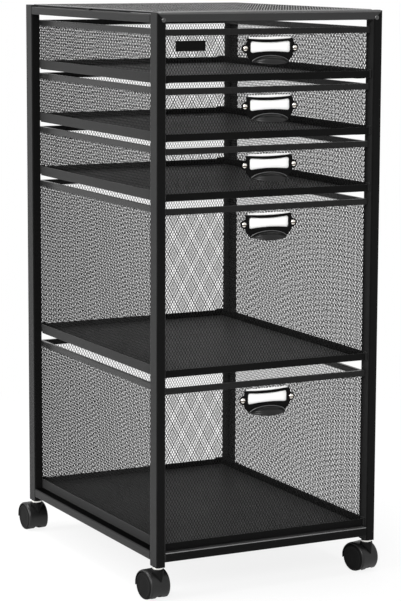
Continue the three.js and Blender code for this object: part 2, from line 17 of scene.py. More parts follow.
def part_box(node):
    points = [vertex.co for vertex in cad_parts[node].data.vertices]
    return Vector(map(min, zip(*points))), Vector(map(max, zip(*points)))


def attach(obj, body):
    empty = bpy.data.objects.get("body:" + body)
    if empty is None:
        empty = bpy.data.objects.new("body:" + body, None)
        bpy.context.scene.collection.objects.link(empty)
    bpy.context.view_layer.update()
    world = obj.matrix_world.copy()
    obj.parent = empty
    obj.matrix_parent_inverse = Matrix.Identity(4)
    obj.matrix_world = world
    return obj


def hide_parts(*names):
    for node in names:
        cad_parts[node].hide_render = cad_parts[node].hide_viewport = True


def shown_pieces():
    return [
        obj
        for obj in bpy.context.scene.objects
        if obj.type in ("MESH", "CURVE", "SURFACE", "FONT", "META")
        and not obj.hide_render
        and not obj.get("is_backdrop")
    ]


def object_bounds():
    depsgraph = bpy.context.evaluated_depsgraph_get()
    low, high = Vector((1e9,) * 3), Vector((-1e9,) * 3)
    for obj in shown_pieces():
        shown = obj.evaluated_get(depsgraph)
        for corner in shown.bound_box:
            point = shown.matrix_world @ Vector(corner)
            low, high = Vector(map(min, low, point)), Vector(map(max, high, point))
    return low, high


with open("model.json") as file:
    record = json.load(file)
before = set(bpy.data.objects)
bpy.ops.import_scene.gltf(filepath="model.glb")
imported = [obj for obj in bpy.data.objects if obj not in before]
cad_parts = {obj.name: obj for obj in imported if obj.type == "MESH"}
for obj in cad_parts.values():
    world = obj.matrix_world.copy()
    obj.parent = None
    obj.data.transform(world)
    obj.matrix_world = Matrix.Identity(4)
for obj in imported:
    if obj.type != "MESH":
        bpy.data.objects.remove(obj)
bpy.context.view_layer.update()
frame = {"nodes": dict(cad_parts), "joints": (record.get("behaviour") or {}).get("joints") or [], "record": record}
nodes = frame["nodes"]
scene = bpy.context.scene
MM = 0.001
BODY_OF = {
    node: body
    for body, members in frame["record"]["behaviour"]["bodies"].items()
    for node in members
}
SLOT_OF = {row["node"]: row["material_slot"] for row in frame["record"]["subparts"]}
JOINTS = {joint["name"]: joint for joint in frame["joints"]}

# %% [markdown]
# ## Where the camera stands
# The photograph was taken with a long lens from the front left, a little above the top. Its
# distance and direction were found by matching the corners of the posts, so they are written
# here as an offset from the middle of the posts' feet, with the focal length in pixels.

# %% Camera
PHOTO_HEIGHT = 601
FOCAL_PIXELS = 2269.3
SENSOR_SIZE = 36.0
CAMERA_RANGE = 50.0
CAMERA_AZIMUTH = math.radians(-27.133)
CAMERA_ELEVATION = math.radians(8.855)
CAMERA_ROLL = math.radians(0.232)
CAMERA_OFFSET = Vector((-1.3369, -2.6199, 0.7518))

near_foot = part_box("post_front_left")[0]
far_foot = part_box("post_rear_right")[1]
foot_middle = Vector(((near_foot.x + far_foot.x) / 2, (near_foot.y + far_foot.y) / 2, near_foot.z))

back = Vector((
    math.sin(CAMERA_AZIMUTH) * math.cos(CAMERA_ELEVATION),
    -math.cos(CAMERA_AZIMUTH) * math.cos(CAMERA_ELEVATION),
    math.sin(CAMERA_ELEVATION),
))
level_right = (-back).cross(Vector((0, 0, 1))).normalized()
level_up = level_right.cross(-back)
right = level_right * math.cos(CAMERA_ROLL) + level_up * math.sin(CAMERA_ROLL)
up = level_up * math.cos(CAMERA_ROLL) - level_right * math.sin(CAMERA_ROLL)

camera = bpy.data.objects.new("photo_camera", bpy.data.cameras.new("photo_camera"))
camera.data.sensor_width = SENSOR_SIZE
camera.data.lens = FOCAL_PIXELS * SENSOR_SIZE / PHOTO_HEIGHT
camera.data.clip_end = CAMERA_RANGE
turn = Matrix((right, up, back)).transposed().to_4x4()
camera.matrix_world = Matrix.Translation(foot_middle + CAMERA_OFFSET) @ turn
scene.collection.objects.link(camera)
scene.camera = camera
print("lens", round(camera.data.lens, 1), "mm")

# %% [markdown]
# ## Node trees in few words
# Materials and geometry trees are both graphs of nodes. One small helper adds a node, sets its
# properties, and fills each named socket with either a value or a link. That keeps every tree
# below readable from top to bottom.

# %% Helpers for node trees
def add(tree, kind, inputs=None, **settings):
    """Adds a node; each input is a value or the socket that it is linked from."""
    made = tree.nodes.new(kind)
    for key, value in settings.items():
        setattr(made, key, value)
    for key, value in (inputs or {}).items():
        if isinstance(value, bpy.types.NodeSocket):
            tree.links.new(value, made.inputs[key])
        else:
            made.inputs[key].default_value = value
    return made


def calc(tree, operation, *values):
    return add(tree, "ShaderNodeMath", dict(enumerate(values)), operation=operation).outputs[0]


def vector_calc(tree, operation, inputs):
    return add(tree, "ShaderNodeVectorMath", inputs, operation=operation).outputs


def in_range(tree, value, limits, results=(0.0, 1.0)):
    """Moves a value from one pair of limits to another."""
    return add(tree, "ShaderNodeMapRange", {
        "Value": value, "From Min": limits[0], "From Max": limits[1],
        "To Min": results[0], "To Max": results[1],
    }).outputs[0]


def new_tree(name, kind, inputs, outputs):
    tree = bpy.data.node_groups.new(name, kind)
    for label, socket in inputs:
        tree.interface.new_socket(name=label, in_out="INPUT", socket_type=socket)
    for label, socket in outputs:
        tree.interface.new_socket(name=label, in_out="OUTPUT", socket_type=socket)
    return tree, tree.nodes.new("NodeGroupInput").outputs, tree.nodes.new("NodeGroupOutput").inputs


print("helpers for nodes:", ", ".join(f.__name__ for f in (add, calc, vector_calc, in_range, new_tree)))

# %% [markdown]
# ## The studio
# The photograph is a cut-out on white. A large white floor and a white world give that ground.
# What the camera sees of them is lifted to white by the Light Path node, while the light that
# falls on the cart stays plain. Near the cart, part of the floor still answers to the lamps, so
# the cart keeps a soft shadow and stands on something; farther off the floor turns fully white.
# Three large area lamps, left, overhead and front left, draw the soft light edges of the steel.

# %% Floor
WHITE = (1, 1, 1, 1)
FLOOR_SIZE = 12.0
FLOOR_COLOUR = (0.8, 0.8, 0.8, 1)
FLOOR_WHITENESS = 0.86  # under the cart
SHADOW_REACH = (0.4, 1.1)  # metres from the middle, over which the floor turns white


def seen_directly(tree):
    path = add(tree, "ShaderNodeLightPath")
    seen = calc(tree, "MAXIMUM", path.outputs["Is Camera Ray"], path.outputs["Is Glossy Ray"])
    return calc(tree, "MAXIMUM", seen, path.outputs["Is Transmission Ray"])


def studio_floor():
    material = bpy.data.materials.new("studio_floor")
    material.use_nodes = True
    tree = material.node_tree
    tree.nodes.clear()
    lit = add(tree, "ShaderNodeBsdfDiffuse", {"Color": FLOOR_COLOUR})
    white = add(tree, "ShaderNodeEmission", {"Color": WHITE, "Strength": 1.0})
    place = add(tree, "ShaderNodeTexCoord").outputs["Object"]
    away = vector_calc(tree, "LENGTH", {0: place})["Value"]
    whiteness = in_range(tree, away, SHADOW_REACH, (FLOOR_WHITENESS, 1.0))
    share = calc(tree, "MULTIPLY", seen_directly(tree), whiteness)
    mixed = add(tree, "ShaderNodeMixShader", {0: share, 1: lit.outputs[0], 2: white.outputs[0]})
    add(tree, "ShaderNodeOutputMaterial", {"Surface": mixed.outputs[0]})
    return material


half = FLOOR_SIZE / 2
floor_corners = [(-half, -half, 0), (half, -half, 0), (half, half, 0), (-half, half, 0)]
floor_mesh = bpy.data.meshes.new("studio_floor")
floor_mesh.from_pydata(floor_corners, [], [(0, 1, 2, 3)])
floor_mesh.materials.append(studio_floor())
floor = bpy.data.objects.new("studio_floor", floor_mesh)
scene.collection.objects.link(floor)
floor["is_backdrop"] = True
print("floor of", FLOOR_SIZE, "m")

# %% World
WORLD_LIGHT = 0.45

world = bpy.data.worlds.new("studio")
scene.world = world
world.use_nodes = True
sky = world.node_tree
sky.nodes.clear()
soft = add(sky, "ShaderNodeBackground", {"Color": WHITE, "Strength": WORLD_LIGHT})
bright = add(sky, "ShaderNodeBackground", {"Color": WHITE, "Strength": 1.0})
mixed = add(sky, "ShaderNodeMixShader", {0: seen_directly(sky), 1: soft.outputs[0], 2: bright.outputs[0]})
add(sky, "ShaderNodeOutputWorld", {"Surface": mixed.outputs[0]})
scene.view_settings.view_transform = "Standard"
print("world light", WORLD_LIGHT)

# %% Lamps
LAMPS = {
    "left_window": {"at": (-2.6, 0.2, 1.5), "size": 1.8, "watts": 80},
    "overhead": {"at": (-0.2, 0.3, 2.8), "size": 1.6, "watts": 80},
    "front_left": {"at": (-1.6, -2.8, 2.2), "size": 1.2, "watts": 80},
}
LAMP_AIM = Vector((0, 0, 0.4))

for name, lamp in LAMPS.items():
    light = bpy.data.lights.new(name, "AREA")
    light.size = lamp["size"]
    light.energy = lamp["watts"]
    holder = bpy.data.objects.new(name, light)
    holder.location = lamp["at"]
    holder.rotation_euler = (LAMP_AIM - holder.location).to_track_quat("-Z", "Y").to_euler()
    scene.collection.objects.link(holder)
print(len(LAMPS), "lamps")

# %% [markdown]
# ## Finishes
# Almost everything here is black, so the finish lives in how the black answers the light.
# Powder coat has a faint orange-peel skin and small changes of tone; its edges rub a little
# lighter, and a dull coat turns pale where it is seen at a low angle. Two shader groups hold the
# effects that all coated metal shares: one gives the grain, and one finds edges by comparing the
# true normal with a rounded one. The pale bloom is the sheen of the Principled shader itself.

# %% Shared effects: grain and rubbed edges
FLOAT = "NodeSocketFloat"
PATCH_SCALE = 55.0
EDGE_LIMITS = (0.98, 0.8)  # likeness of true and rounded normal, from flat to edge
PATCH_LIMITS = (0.4, 0.65)
BEVEL_SAMPLES = 4


def grain_group():
    tree, given, result = new_tree(
        "coat_grain", "ShaderNodeTree",
        [("Fine Scale", FLOAT), ("Broad Scale", FLOAT), ("Tone Range", FLOAT), ("Gloss Range", FLOAT)],
        [("Tone", FLOAT), ("Gloss", FLOAT), ("Height", FLOAT)],
    )
    place = add(tree, "ShaderNodeTexCoord").outputs["Object"]
    fine = add(tree, "ShaderNodeTexNoise", {"Vector": place, "Scale": given["Fine Scale"], "Detail": 3.0})
    broad = add(tree, "ShaderNodeTexNoise", {"Vector": place, "Scale": given["Broad Scale"], "Detail": 4.0})
    drift = calc(tree, "SUBTRACT", broad.outputs[0], 0.5)
    tree.links.new(calc(tree, "MULTIPLY_ADD", drift, given["Tone Range"], 1.0), result["Tone"])
    tree.links.new(calc(tree, "MULTIPLY", drift, given["Gloss Range"]), result["Gloss"])
    tree.links.new(fine.outputs[0], result["Height"])
    return tree


def rub_group():
    tree, given, result = new_tree(
        "rubbed_edges", "ShaderNodeTree",
        [("Reach", FLOAT), ("Amount", FLOAT)],
        [("Mask", FLOAT)],
    )
    place = add(tree, "ShaderNodeTexCoord").outputs["Object"]
    patchy = add(tree, "ShaderNodeTexNoise", {"Vector": place, "Scale": PATCH_SCALE, "Detail": 4.0}).outputs[0]
    rounded = add(tree, "ShaderNodeBevel", {"Radius": given["Reach"]}, samples=BEVEL_SAMPLES).outputs[0]
    true = add(tree, "ShaderNodeNewGeometry").outputs["Normal"]
    same = vector_calc(tree, "DOT_PRODUCT", {0: rounded, 1: true})["Value"]
    worn = calc(tree, "MULTIPLY", in_range(tree, same, EDGE_LIMITS), in_range(tree, patchy, PATCH_LIMITS))
    tree.links.new(calc(tree, "MULTIPLY", worn, given["Amount"]), result["Mask"])
    return tree


coat_grain = grain_group()
rubbed_edges = rub_group()
print("groups of", len(coat_grain.nodes), "and", len(rubbed_edges.nodes), "nodes")

# %% Helpers for materials
def blank_material(name):
    material = bpy.data.materials.new(name)
    material.use_nodes = True
    tree = material.node_tree
    tree.nodes.clear()
    shader = add(tree, "ShaderNodeBsdfPrincipled")
    add(tree, "ShaderNodeOutputMaterial", {"Surface": shader.outputs[0]})
    return material, tree, shader


def tinted(tree, mode, factor, first, second):
    """Mixes two colours; a Mix node keeps its colour sockets after those for numbers."""
    inputs = {0: factor, 6: first, 7: second}
    return add(tree, "ShaderNodeMix", inputs, data_type="RGBA", blend_type=mode).outputs[2]


def grained(tree, fine_scale, broad_scale, tone, gloss):
    return add(tree, "ShaderNodeGroup", {
        "Fine Scale": fine_scale, "Broad Scale": broad_scale, "Tone Range": tone, "Gloss Range": gloss,
    }, node_tree=coat_grain).outputs


def skinned(tree, shader, grain, base, roughness, strength, height):
    """Joins the colour, gloss and bump of a grained surface to its shader."""
    bump = add(tree, "ShaderNodeBump", {"Height": grain["Height"], "Strength": strength, "Distance": height})
    tree.links.new(base, shader.inputs["Base Color"])
    tree.links.new(calc(tree, "ADD", grain["Gloss"], roughness), shader.inputs["Roughness"])
    tree.links.new(bump.outputs[0], shader.inputs["Normal"])


print("helpers for materials:", ", ".join(f.__name__ for f in (blank_material, tinted, grained, skinned)))

# %% Coats on metal and moulded plastic
RUBBED = (0.10, 0.10, 0.10)
RUB_REACH = 0.9 * MM
COAT_BROAD, COAT_TONE, COAT_GLOSS = 14.0, 0.5, 0.18
PEEL_HEIGHT = 0.1 * MM
SHEET_GRAIN = {"fine_scale": 900.0, "peel": 0.35}
MESH_GRAIN = {"fine_scale": 1500.0, "peel": 0.2}
PULL_GRAIN = {"fine_scale": 700.0, "peel": 0.2}


def grey(level):
    return (level, level, level)


def coated(name, colour, roughness, specular, fine_scale, peel, rub=0.0, bloom=0.0):
    material, tree, shader = blank_material(name)
    grain = grained(tree, fine_scale, COAT_BROAD, COAT_TONE, COAT_GLOSS)
    base = tinted(tree, "MULTIPLY", 1.0, (*colour, 1), grain["Tone"])
    if rub:
        edges = add(tree, "ShaderNodeGroup", {"Reach": RUB_REACH, "Amount": rub}, node_tree=rubbed_edges)
        base = tinted(tree, "MIX", edges.outputs["Mask"], base, (*RUBBED, 1))
    skinned(tree, shader, grain, base, roughness, peel, PEEL_HEIGHT)
    shader.inputs["Specular IOR Level"].default_value = specular
    shader.inputs["Sheen Weight"].default_value = bloom  # pale look of a dull coat at a low angle
    return material


COATS = {
    "frame_coat": dict(SHEET_GRAIN, colour=grey(0.002), roughness=0.42, specular=0.02, rub=0.35, bloom=0.12),
    # The front top rail's coat is the frame coat made lighter and glossier; the lighter colour is painted light.
    "rail_coat": dict(SHEET_GRAIN, colour=grey(0.008), roughness=0.40, specular=0.45, rub=0.4),
    "drawer_coat": dict(SHEET_GRAIN, colour=grey(0.002), roughness=0.45, specular=0.02, rub=0.3, bloom=0.10),
    # The rims' coat is the drawer coat made a little lighter and glossier; the lighter colour is painted light
    # along the rims.
    "rim_coat": dict(SHEET_GRAIN, colour=grey(0.003), roughness=0.28, specular=0.16, rub=0.3, bloom=0.08),
    # Near-black, dull coat for the strips of painted shade on the bottom side rails.
    "strip_black": dict(SHEET_GRAIN, colour=grey(0.001), roughness=0.60, specular=0.01),
    # Hem and lip coat: glossy, with a colour far lighter than the frame's black, which paints a highlight along
    # the hem and the lip.
    "lip_coat": dict(colour=grey(0.04), roughness=0.25, specular=0.90, fine_scale=900.0, peel=0.2, rub=0.2),
    "screw_coat": dict(colour=grey(0.004), roughness=0.18, specular=1.00, fine_scale=700.0, peel=0.1),
    "drawer_mesh": dict(MESH_GRAIN, colour=grey(0.006), roughness=0.45, specular=0.10),
    "top_mesh": dict(MESH_GRAIN, colour=(0.004, 0.0037, 0.0034), roughness=0.28, specular=0.20),
    "pull_coat": dict(PULL_GRAIN, colour=grey(0.002), roughness=0.25, specular=0.06, rub=0.15),
    # The cup's coat is the pull's coat made lighter and more reflective; the lighter colour is painted light on
    # the cup.
    "pull_cup": dict(PULL_GRAIN, colour=grey(0.004), roughness=0.30, specular=0.3, rub=0.2),
    # A colour far lighter than the pull's coat, so that thin beads show a painted highlight.
    "pull_edge": dict(PULL_GRAIN, colour=grey(0.12), roughness=0.30, specular=0.8),
    "caster_plastic": dict(
        colour=grey(0.007), roughness=0.36, specular=0.3, fine_scale=1400.0, peel=0.4, rub=0.15,
    ),
    "caster_tread": dict(
        colour=grey(0.005), roughness=0.55, specular=0.06, fine_scale=1100.0, peel=0.5, rub=0.1,
    ),
}
finishes = {name: coated(name, **values) for name, values in COATS.items()}
print(len(finishes), "coats")

# %% Bright metal and paper
METAL_BROAD, METAL_TONE, METAL_GLOSS = 120.0, 0.25, 0.3
METAL_BUMP, PAPER_BUMP = 0.15, 0.2
FINE_HEIGHT = 0.05 * MM
# Limits of the painted reflection band on the rivets, given as the upward part of the normal.
PAINTED_REFLECTION_TOP, PAINTED_REFLECTION_FOOT = (0.08, -0.03), (-0.32, -0.2)  # upward part of the normal, fading in
PAPER_COLOUR = (0.9, 0.9, 0.89, 1)
PAPER_SCALE, PAPER_SHADES = 1800.0, (0.93, 1.0)


def bright_metal(name, colour, roughness, fine_scale, painted_reflection=None):
    material, tree, shader = blank_material(name)
    grain = grained(tree, fine_scale, METAL_BROAD, METAL_TONE, METAL_GLOSS)
    base = tinted(tree, "MULTIPLY", 1.0, (*colour, 1), grain["Tone"])
    if painted_reflection:  # painted reflection: a dark band painted into the colour below a small dome's middle, where it would mirror the dark side of a room
        normal = add(tree, "ShaderNodeNewGeometry").outputs["Normal"]
        slope = add(tree, "ShaderNodeSeparateXYZ", {0: normal}).outputs["Z"]
        band = calc(tree, "MULTIPLY", in_range(tree, slope, PAINTED_REFLECTION_TOP), in_range(tree, slope, PAINTED_REFLECTION_FOOT))
        base = tinted(tree, "MIX", band, base, (*painted_reflection, 1))
    skinned(tree, shader, grain, base, roughness, METAL_BUMP, FINE_HEIGHT)
    shader.inputs["Metallic"].default_value = 1.0
    return material


def card_paper():
    material, tree, shader = blank_material("card_paper")
    place = add(tree, "ShaderNodeTexCoord").outputs["Object"]
    squeezed = add(tree, "ShaderNodeMapping", {"Vector": place, "Scale": (0.25, 1.0, 1.0)}).outputs[0]
    fibre = add(tree, "ShaderNodeTexNoise", {"Vector": squeezed, "Scale": PAPER_SCALE, "Detail": 5.0}).outputs[0]
    shade = in_range(tree, fibre, (0.0, 1.0), PAPER_SHADES)
    tree.links.new(tinted(tree, "MULTIPLY", 1.0, PAPER_COLOUR, shade), shader.inputs["Base Color"])
    bump = add(tree, "ShaderNodeBump", {"Height": fibre, "Strength": PAPER_BUMP, "Distance": FINE_HEIGHT})
    tree.links.new(bump.outputs[0], shader.inputs["Normal"])
    shader.inputs["Roughness"].default_value = 0.8
    return material


finishes["axle_steel"] = bright_metal("axle_steel", (0.5, 0.5, 0.49), 0.35, 900.0)
finishes["bright_zinc"] = bright_metal("bright_zinc", (0.82, 0.81, 0.78), 0.28, 900.0)
# The rivets' last colour is a painted reflection: a dark band below the dome's middle.
finishes["rivet_nickel"] = bright_metal("rivet_nickel", (0.84, 0.81, 0.76), 0.16, 600.0, (0.10, 0.07, 0.045))
finishes["card_paper"] = card_paper()
print(len(finishes), "finishes")

# %% [markdown]
# ## Folded and welded steel
# Posts, rails, runners, trays and rims already have the right shape. Real sheet and tube never
# ends in a razor edge, though, and it is the thin bright line along a rounded edge that makes
# steel look like steel. So each solid is copied, its doubled corners are merged, its triangles
# are joined to flat faces, and every hard edge gets a small bevel. A rim is a flat ring, and
# joining its triangles would close it like a lid, so it is cut in four first. The copy then
# stands in for the solid.

# %% Helpers for pieces with soft edges
WELD = 1e-6
BEND_ANGLE = math.radians(25)


def piece(name, mesh, finish, body, replaced=()):
    """Makes a mesh a piece of the cart, with its finish, its body and the solids it stands for."""
    mesh.materials.clear()
    mesh.materials.append(finishes[finish])
    made = bpy.data.objects.new(name, mesh)
    scene.collection.objects.link(made)
    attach(made, body)
    if replaced:
        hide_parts(*replaced)
    return made


def round_edges(work, radius, segments):
    """Bevels every hard edge of a mesh."""
    hard = [edge for edge in work.edges if edge.calc_face_angle(0) > BEND_ANGLE]
    bmesh.ops.bevel(
        work, geom=hard, offset=radius, segments=segments, profile=0.5, affect="EDGES", clamp_overlap=True,
    )


def made_mesh(name, work, weld=0.0):
    """Ends the work on a mesh, with its doubles merged and its faces pointing outwards."""
    if weld:
        bmesh.ops.remove_doubles(work, verts=work.verts, dist=weld)
    bmesh.ops.recalc_face_normals(work, faces=work.faces)
    mesh = bpy.data.meshes.new(name)
    work.to_mesh(mesh)
    work.free()
    return mesh


print("edges over", round(math.degrees(BEND_ANGLE)), "degrees count as hard")

# %% Bevelled copies of the steel solids
FLAT_ANGLE = math.radians(2)
CUT_WELD = 1e-7
STEEL_SEGMENTS = 2
TUBE_SOFTENING = 0.8 * MM
SHEET_SOFTENING = 0.3 * MM
RIM_SOFTENING = 1.2 * MM


def cut_in_four(work, node):
    """Cuts a ring along its two middle planes and marks the cuts as seams."""
    low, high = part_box(node)
    middle = (low + high) / 2
    for side in (Vector((1, 0, 0)), Vector((0, 1, 0))):
        whole = work.verts[:] + work.edges[:] + work.faces[:]
        cut = bmesh.ops.bisect_plane(work, geom=whole, dist=CUT_WELD, plane_co=middle, plane_no=side)
        for item in cut["geom_cut"]:
            if isinstance(item, bmesh.types.BMEdge):
                item.seam = True


def softened(node, radius, finish=None, ring=False):
    mesh = nodes[node].data.copy()
    work = bmesh.new()
    work.from_mesh(mesh)
    bmesh.ops.remove_doubles(work, verts=work.verts, dist=WELD)
    if ring:
        cut_in_four(work, node)
    bmesh.ops.dissolve_limit(
        work, angle_limit=FLAT_ANGLE, verts=work.verts, edges=work.edges, delimit={"SEAM"},
    )
    round_edges(work, radius, STEEL_SEGMENTS)
    work.to_mesh(mesh)
    work.free()
    slot = SLOT_OF[node]
    return piece("coated_" + node, mesh, finish or slot, BODY_OF[node], [node])


steel = []
for node in sorted(nodes):
    if node == "top_rail_front":  # the front top rail takes a lighter, glossier copy of the frame coat; its lighter colour is painted light
        steel.append(softened(node, TUBE_SOFTENING, finish="rail_coat"))
    elif node.startswith(("post_", "top_rail_", "bottom_rail_")):
        steel.append(softened(node, TUBE_SOFTENING))
    elif node.startswith("runner_") or node.endswith("_tray"):
        steel.append(softened(node, SHEET_SOFTENING))
    elif node.endswith("_rim"):
        # Rims take the lighter copy of the drawer coat, as painted light.
        steel.append(softened(node, RIM_SOFTENING, finish="rim_coat", ring=True))
print(len(steel), "steel pieces with soft edges")

# %% [markdown]
# ## Expanded mesh
# Expanded metal is a sheet that is slit in staggered rows and pulled open into diamonds. It
# could be faked with a transparent texture, but then the light would not catch its strands and
# an exported model would be a plain sheet. Here one diamond cell is modelled. On the
# drawers a strand has a ridge on both sides; the top was rolled flat after it was pulled, and its
# two families of strands differ in width. Geometry Nodes repeat the cell: row by row, staggered
# by half a pitch, then wrapped round the drawer along a rectangle with rounded corners.

# %% One diamond cell
MESH_PITCH = 3.88 * MM
MESH_ROW = 3.45 * MM
STRAND_WIDTH = 0.66 * MM
STRAND_DEPTH = 0.75 * MM
TOP_STRAND_WIDTH = 0.95 * MM
TOP_STRAND_CROSS = 0.5 * MM
TOP_STRAND_DEPTH = 0.45 * MM


def diamond_cell(width, depth, cross=None):
    """One diamond: ridged strands, or strands rolled flat whose other family is `cross` wide."""
    a, b = MESH_PITCH / 2, MESH_ROW
    reach = a * b / math.hypot(a, b)
    u, v = 1 - width / 2 / reach, 1 - (cross or width) / 2 / reach
    ring = [(a, 0), (0, b), (-a, 0), (0, -b)]
    front = [(x, y, depth / 2) for x, y in ring]
    rear = [(x, y, -depth / 2) for x, y in ring]
    hole = [(a * (p + q) / 2, b * (q - p) / 2) for p, q in ((u, v), (-u, v), (-u, -v), (u, -v))]
    heights = (depth / 2, -depth / 2) if cross else (0,)
    loops = [front] + [[(x, y, z) for x, y in hole] for z in heights] + [rear]
    faces = []
    for first in range(0, 4 * len(loops) - 4, 4):
        for i in range(4):
            j = (i + 1) % 4
            faces.append((first + i, first + j, first + 4 + j, first + 4 + i))
    mesh = bpy.data.meshes.new("diamond_cell")
    mesh.from_pydata(sum(loops, []), [], faces)
    return bpy.data.objects.new("diamond_cell", mesh)


cell = diamond_cell(STRAND_WIDTH, STRAND_DEPTH)
top_cell = diamond_cell(TOP_STRAND_WIDTH, TOP_STRAND_DEPTH, TOP_STRAND_CROSS)
print("cells of", len(cell.data.polygons), "and", len(top_cell.data.polygons), "faces")

# %% [markdown]
# ## Trees that repeat the cell
# One tree wraps the field of cells into a sleeve for the walls of a drawer, and one lays it flat
# for the top. Both start from the same two grids of points and end in Realize Instances and Set
# Material, because an export keeps no instances. Neighbouring cells share their corners, so
# merging those makes one connected net of strands.

# %% A staggered field of cells
STRAND_WELD = 2e-5


def staggered(tree, given, columns, rows, step, row, start):
    """Two point grids, half a pitch and one row apart, with a cell on every point."""
    wide = calc(tree, "MULTIPLY", calc(tree, "SUBTRACT", columns, 1.0), step)
    tall = calc(tree, "MULTIPLY", calc(tree, "SUBTRACT", rows, 1.0), calc(tree, "MULTIPLY", row, 2.0))
    grid = add(tree, "GeometryNodeMeshGrid", {
        "Size X": wide, "Size Y": tall, "Vertices X": columns, "Vertices Y": rows,
    }).outputs["Mesh"]
    centre = add(tree, "ShaderNodeCombineXYZ", {
        "X": calc(tree, "MULTIPLY_ADD", wide, 0.5, start),
        "Y": calc(tree, "MULTIPLY_ADD", tall, 0.5, calc(tree, "ADD", given["Low"], row)),
    }).outputs[0]
    shift = add(tree, "ShaderNodeCombineXYZ", {"X": calc(tree, "MULTIPLY", step, 0.5), "Y": row}).outputs[0]
    first = add(tree, "GeometryNodeTransform", {"Geometry": grid, "Translation": centre}).outputs[0]
    second = add(tree, "GeometryNodeTransform", {"Geometry": first, "Translation": shift}).outputs[0]
    both = tree.nodes.new("GeometryNodeJoinGeometry")
    tree.links.new(first, both.inputs[0])
    tree.links.new(second, both.inputs[0])
    shape = add(tree, "GeometryNodeObjectInfo", {"Object": given["Cell"]}).outputs["Geometry"]
    stretch = add(tree, "ShaderNodeCombineXYZ", {
        "X": calc(tree, "DIVIDE", step, given["Pitch"]), "Y": calc(tree, "DIVIDE", row, given["Row"]), "Z": 1.0,
    }).outputs[0]
    placed = add(tree, "GeometryNodeInstanceOnPoints", {
        "Points": both.outputs[0], "Instance": shape, "Scale": stretch,
    }).outputs[0]
    whole = add(tree, "GeometryNodeRealizeInstances", {"Geometry": placed}).outputs[0]
    return add(tree, "GeometryNodeMergeByDistance", {"Geometry": whole, "Distance": STRAND_WELD}).outputs[0]


def close_tree(tree, result, geometry, material, smooth=True):
    shaded = add(tree, "GeometryNodeSetShadeSmooth", {"Geometry": geometry, "Shade Smooth": smooth}).outputs[0]
    painted = add(tree, "GeometryNodeSetMaterial", {"Geometry": shaded, "Material": material}).outputs[0]
    tree.links.new(painted, result["Geometry"])


print("cells are welded within", STRAND_WELD / MM, "mm")

# %% The sleeve round a drawer
INT, OBJECT, MATERIAL, GEOMETRY = (
    "NodeSocketInt", "NodeSocketObject", "NodeSocketMaterial", "NodeSocketGeometry",
)
SLEEVE_INPUTS = [
    ("Cell", OBJECT), ("Material", MATERIAL), ("Width", FLOAT), ("Depth", FLOAT), ("Corner", FLOAT),
    ("Low", FLOAT), ("High", FLOAT), ("Pitch", FLOAT), ("Row", FLOAT), ("Parts", INT), ("Part", INT),
]
CORNER_POINTS = 4


def sleeve_tree():
    tree, given, result = new_tree("mesh_sleeve", "GeometryNodeTree", SLEEVE_INPUTS, [("Geometry", GEOMETRY)])
    plain = add(tree, "GeometryNodeCurvePrimitiveQuadrilateral", {
        "Width": given["Width"], "Height": given["Depth"],
    }).outputs[0]
    path = add(tree, "GeometryNodeFilletCurve", {
        "Curve": plain, "Radius": given["Corner"], "Count": CORNER_POINTS,
    }, mode="POLY").outputs[0]
    length = add(tree, "GeometryNodeCurveLength", {"Curve": path}).outputs[0]
    share = calc(tree, "DIVIDE", calc(tree, "DIVIDE", length, given["Pitch"]), given["Parts"])
    columns = calc(tree, "ROUND", share)
    step = calc(tree, "DIVIDE", length, calc(tree, "MULTIPLY", columns, given["Parts"]))
    start = calc(tree, "MULTIPLY", calc(tree, "MULTIPLY", columns, step), given["Part"])
    height = calc(tree, "SUBTRACT", given["High"], given["Low"])
    whole_rows = calc(tree, "SUBTRACT", calc(tree, "DIVIDE", height, given["Row"]), 1.0)
    rows = calc(tree, "ROUND", calc(tree, "MULTIPLY", whole_rows, 0.5))
    row = calc(tree, "DIVIDE", height, calc(tree, "MULTIPLY_ADD", rows, 2.0, 1.0))
    flat = staggered(tree, given, columns, rows, step, row, start)

    spot = add(tree, "ShaderNodeSeparateXYZ", {0: add(tree, "GeometryNodeInputPosition").outputs[0]}).outputs
    along = calc(tree, "WRAP", spot["X"], length, 0.0)
    sample = add(tree, "GeometryNodeSampleCurve", {"Curves": path, "Length": along}, mode="LENGTH").outputs
    outward = vector_calc(tree, "CROSS_PRODUCT", {0: sample["Tangent"], 1: (0, 0, 1)})[0]
    proud = vector_calc(tree, "SCALE", {0: outward, "Scale": spot["Z"]})[0]
    lift = add(tree, "ShaderNodeCombineXYZ", {"Z": spot["Y"]}).outputs[0]
    on_path = vector_calc(tree, "ADD", {0: sample["Position"], 1: proud})[0]
    place = vector_calc(tree, "ADD", {0: on_path, 1: lift})[0]
    wrapped = add(tree, "GeometryNodeSetPosition", {"Geometry": flat, "Position": place}).outputs[0]
    close_tree(tree, result, wrapped, given["Material"])
    return tree


sleeve = sleeve_tree()
print("sleeve tree of", len(sleeve.nodes), "nodes")

# %% The flat sheet of the top
SHEET_INPUTS = [
    ("Cell", OBJECT), ("Material", MATERIAL), ("Left", FLOAT), ("Low", FLOAT), ("Columns", INT),
    ("Rows", INT), ("Pitch", FLOAT), ("Row", FLOAT), ("Step", FLOAT), ("Rise", FLOAT),
]


def sheet_tree():
    tree, given, result = new_tree("mesh_sheet", "GeometryNodeTree", SHEET_INPUTS, [("Geometry", GEOMETRY)])
    flat = staggered(tree, given, given["Columns"], given["Rows"], given["Step"], given["Rise"], given["Left"])
    close_tree(tree, result, flat, given["Material"], smooth=False)
    return tree


sheet = sheet_tree()
print("sheet tree of", len(sheet.nodes), "nodes")

# %% From tree to closed mesh
PAIR_NEAREST, PAIR_FARTHEST = 0.5, 1.05  # how far apart paired edges lie, in strand depths


